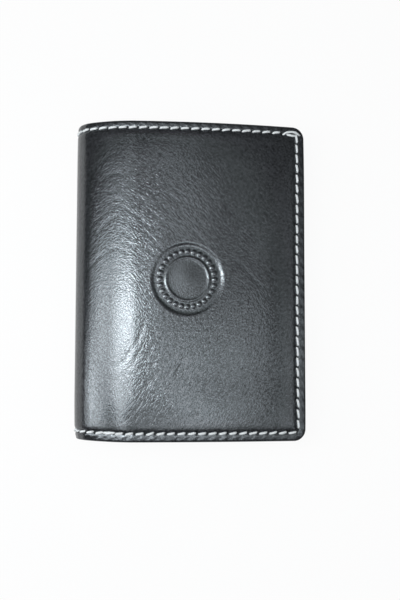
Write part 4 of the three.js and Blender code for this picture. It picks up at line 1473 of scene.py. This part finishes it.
def pale_floor():
    """White paint, which the camera and reflections see mostly as an even glow, reflections a little dimmer."""
    material, tree, shader = new_material("pale_floor")
    tree.nodes.remove(shader)
    rays = add(tree, "LightPath").outputs
    seen = calc(tree, "MAXIMUM", rays["Is Camera Ray"], rays["Is Glossy Ray"])
    seen = calc(tree, "MAXIMUM", seen, rays["Is Transmission Ray"])
    strength = calc(tree, "MULTIPLY_ADD", rays["Is Glossy Ray"], MIRRORED_GLOW - 1, 1.0)
    mixed = add(tree, "MixShader", Fac=calc(tree, "MULTIPLY", seen, FLOOR_GLOW))
    plug(tree, mixed.inputs[1], add(tree, "BsdfDiffuse", Color=FLOOR_PAINT).outputs[0])
    plug(tree, mixed.inputs[2], add(tree, "Emission", Color=WHITE, Strength=strength).outputs[0])
    feed(tree, tree.nodes["Material Output"], Surface=mixed.outputs[0])
    return material


floor_mesh = bpy.data.meshes.new("floor")
floor_mesh.from_pydata(
    [(FLOOR_SIZE / 2 * x, FLOOR_SIZE / 2 * y, 0) for x, y in ((-1, -1), (1, -1), (1, 1), (-1, 1))], [], [(0, 1, 2, 3)])
floor = bpy.data.objects.new("floor", floor_mesh)
floor.location.z = -FLOOR_DROP
bpy.context.collection.objects.link(floor)
dress(pale_floor(), [floor])

world = bpy.data.worlds.new("room")
world.use_nodes = True
around = world.node_tree
to_camera = add(around, "LightPath").outputs["Is Camera Ray"]
feed(around, around.nodes["Background"], Color=mix_colours(around, to_camera, ROOM, WHITE))
bpy.context.scene.world = world

# %% The softboxes
LAMP_DISTANCE = 0.33
LAMP_COLOUR = (0.944, 1.007, 1.049)
LAMP_AIM = Vector((0, 0, 0.02))


def softbox(name, aside, ahead, radiance):
    """A lamp panel that faces the wallet from LAMP_DISTANCE. aside and ahead are the ranges, in degrees from overhead,
    that it fills towards the open edge and towards the top edge. Its power is radiance x area x pi."""
    across, up = (np.tan(np.radians(np.mean(span))) for span in (aside, ahead))
    towards = Vector((across, up, 1)).normalized()
    lamp = bpy.data.lights.new(name, "AREA")
    lamp.shape = "RECTANGLE"
    lamp.size, lamp.size_y = (LAMP_DISTANCE * radians(span[1] - span[0]) for span in (aside, ahead))
    lamp.energy = radiance * lamp.size * lamp.size_y * np.pi
    lamp.color = LAMP_COLOUR
    made = bpy.data.objects.new(name, lamp)
    made.location = LAMP_AIM + LAMP_DISTANCE * towards
    made.rotation_euler = towards.to_track_quat("Z", "Y").to_euler()
    bpy.context.collection.objects.link(made)
    print(name, round(lamp.energy, 2), "W")


PANEL_ROWS = {
    "top": ((16, 28), [(-51, -30, 0.45), (-30, -20, 0.85), (-14.5, -8.5, 1.9), (-0.5, 6.5, 1.4), (6.5, 29, 0.4)]),
    "over": ((4.8, 15.2), [
        (-51, -39, 0.9), (-39, -31, 2.1), (-31, -21, 3.1), (-21, -14.5, 1.3), (-14.5, -8.6, 3.2), (-0.5, 6.5, 1.75),
        (6.5, 16, 0.7), (31, 49, 0.3)]),
    "level": ((-3.5, 5.5), [
        (-65, -51, 1.5), (-51, -39, 5.1), (-39, -31, 3.4), (-31, -25, 4.9), (-25, -21, 7.3), (-21, -17.5, 9.8),
        (-17.5, -14.5, 13.0), (-14.5, -8.6, 14.8), (-8.6, -5.2, 6.5), (-0.5, 16, 1.8), (16, 30, 1.1)]),
    "under": ((-12.8, -3.2), [
        (-65, -39, 1.1), (-39, -31, 3.0), (-31, -14.5, 4.8), (-14.5, -8.6, 6.0), (-8.6, -5.2, 2.8), (-0.5, 6.5, 1.0),
        (6.5, 16, 3.2), (16, 30, 1.5), (30, 49, 0.65)]),
    "low": ((-23, -13), [
        (-65, -51, 5.2), (-51, -39, 3.3), (-39, -8.5, 2.0), (-8.5, -0.5, 1.0), (-0.5, 16, 1.9), (16, 30, 0.45),
        (30, 49, 0.8)]),
    "foot": ((-33, -22), [(-79, -66, 3.0), (-66, -51, 1.0), (-51, -39, 0.6)]),
}
for row, (ahead, panels) in PANEL_ROWS.items():
    for number, (start, stop, radiance) in enumerate(panels, 1):
        softbox(f"{row}_panel_{number}", (start, stop), ahead, radiance)
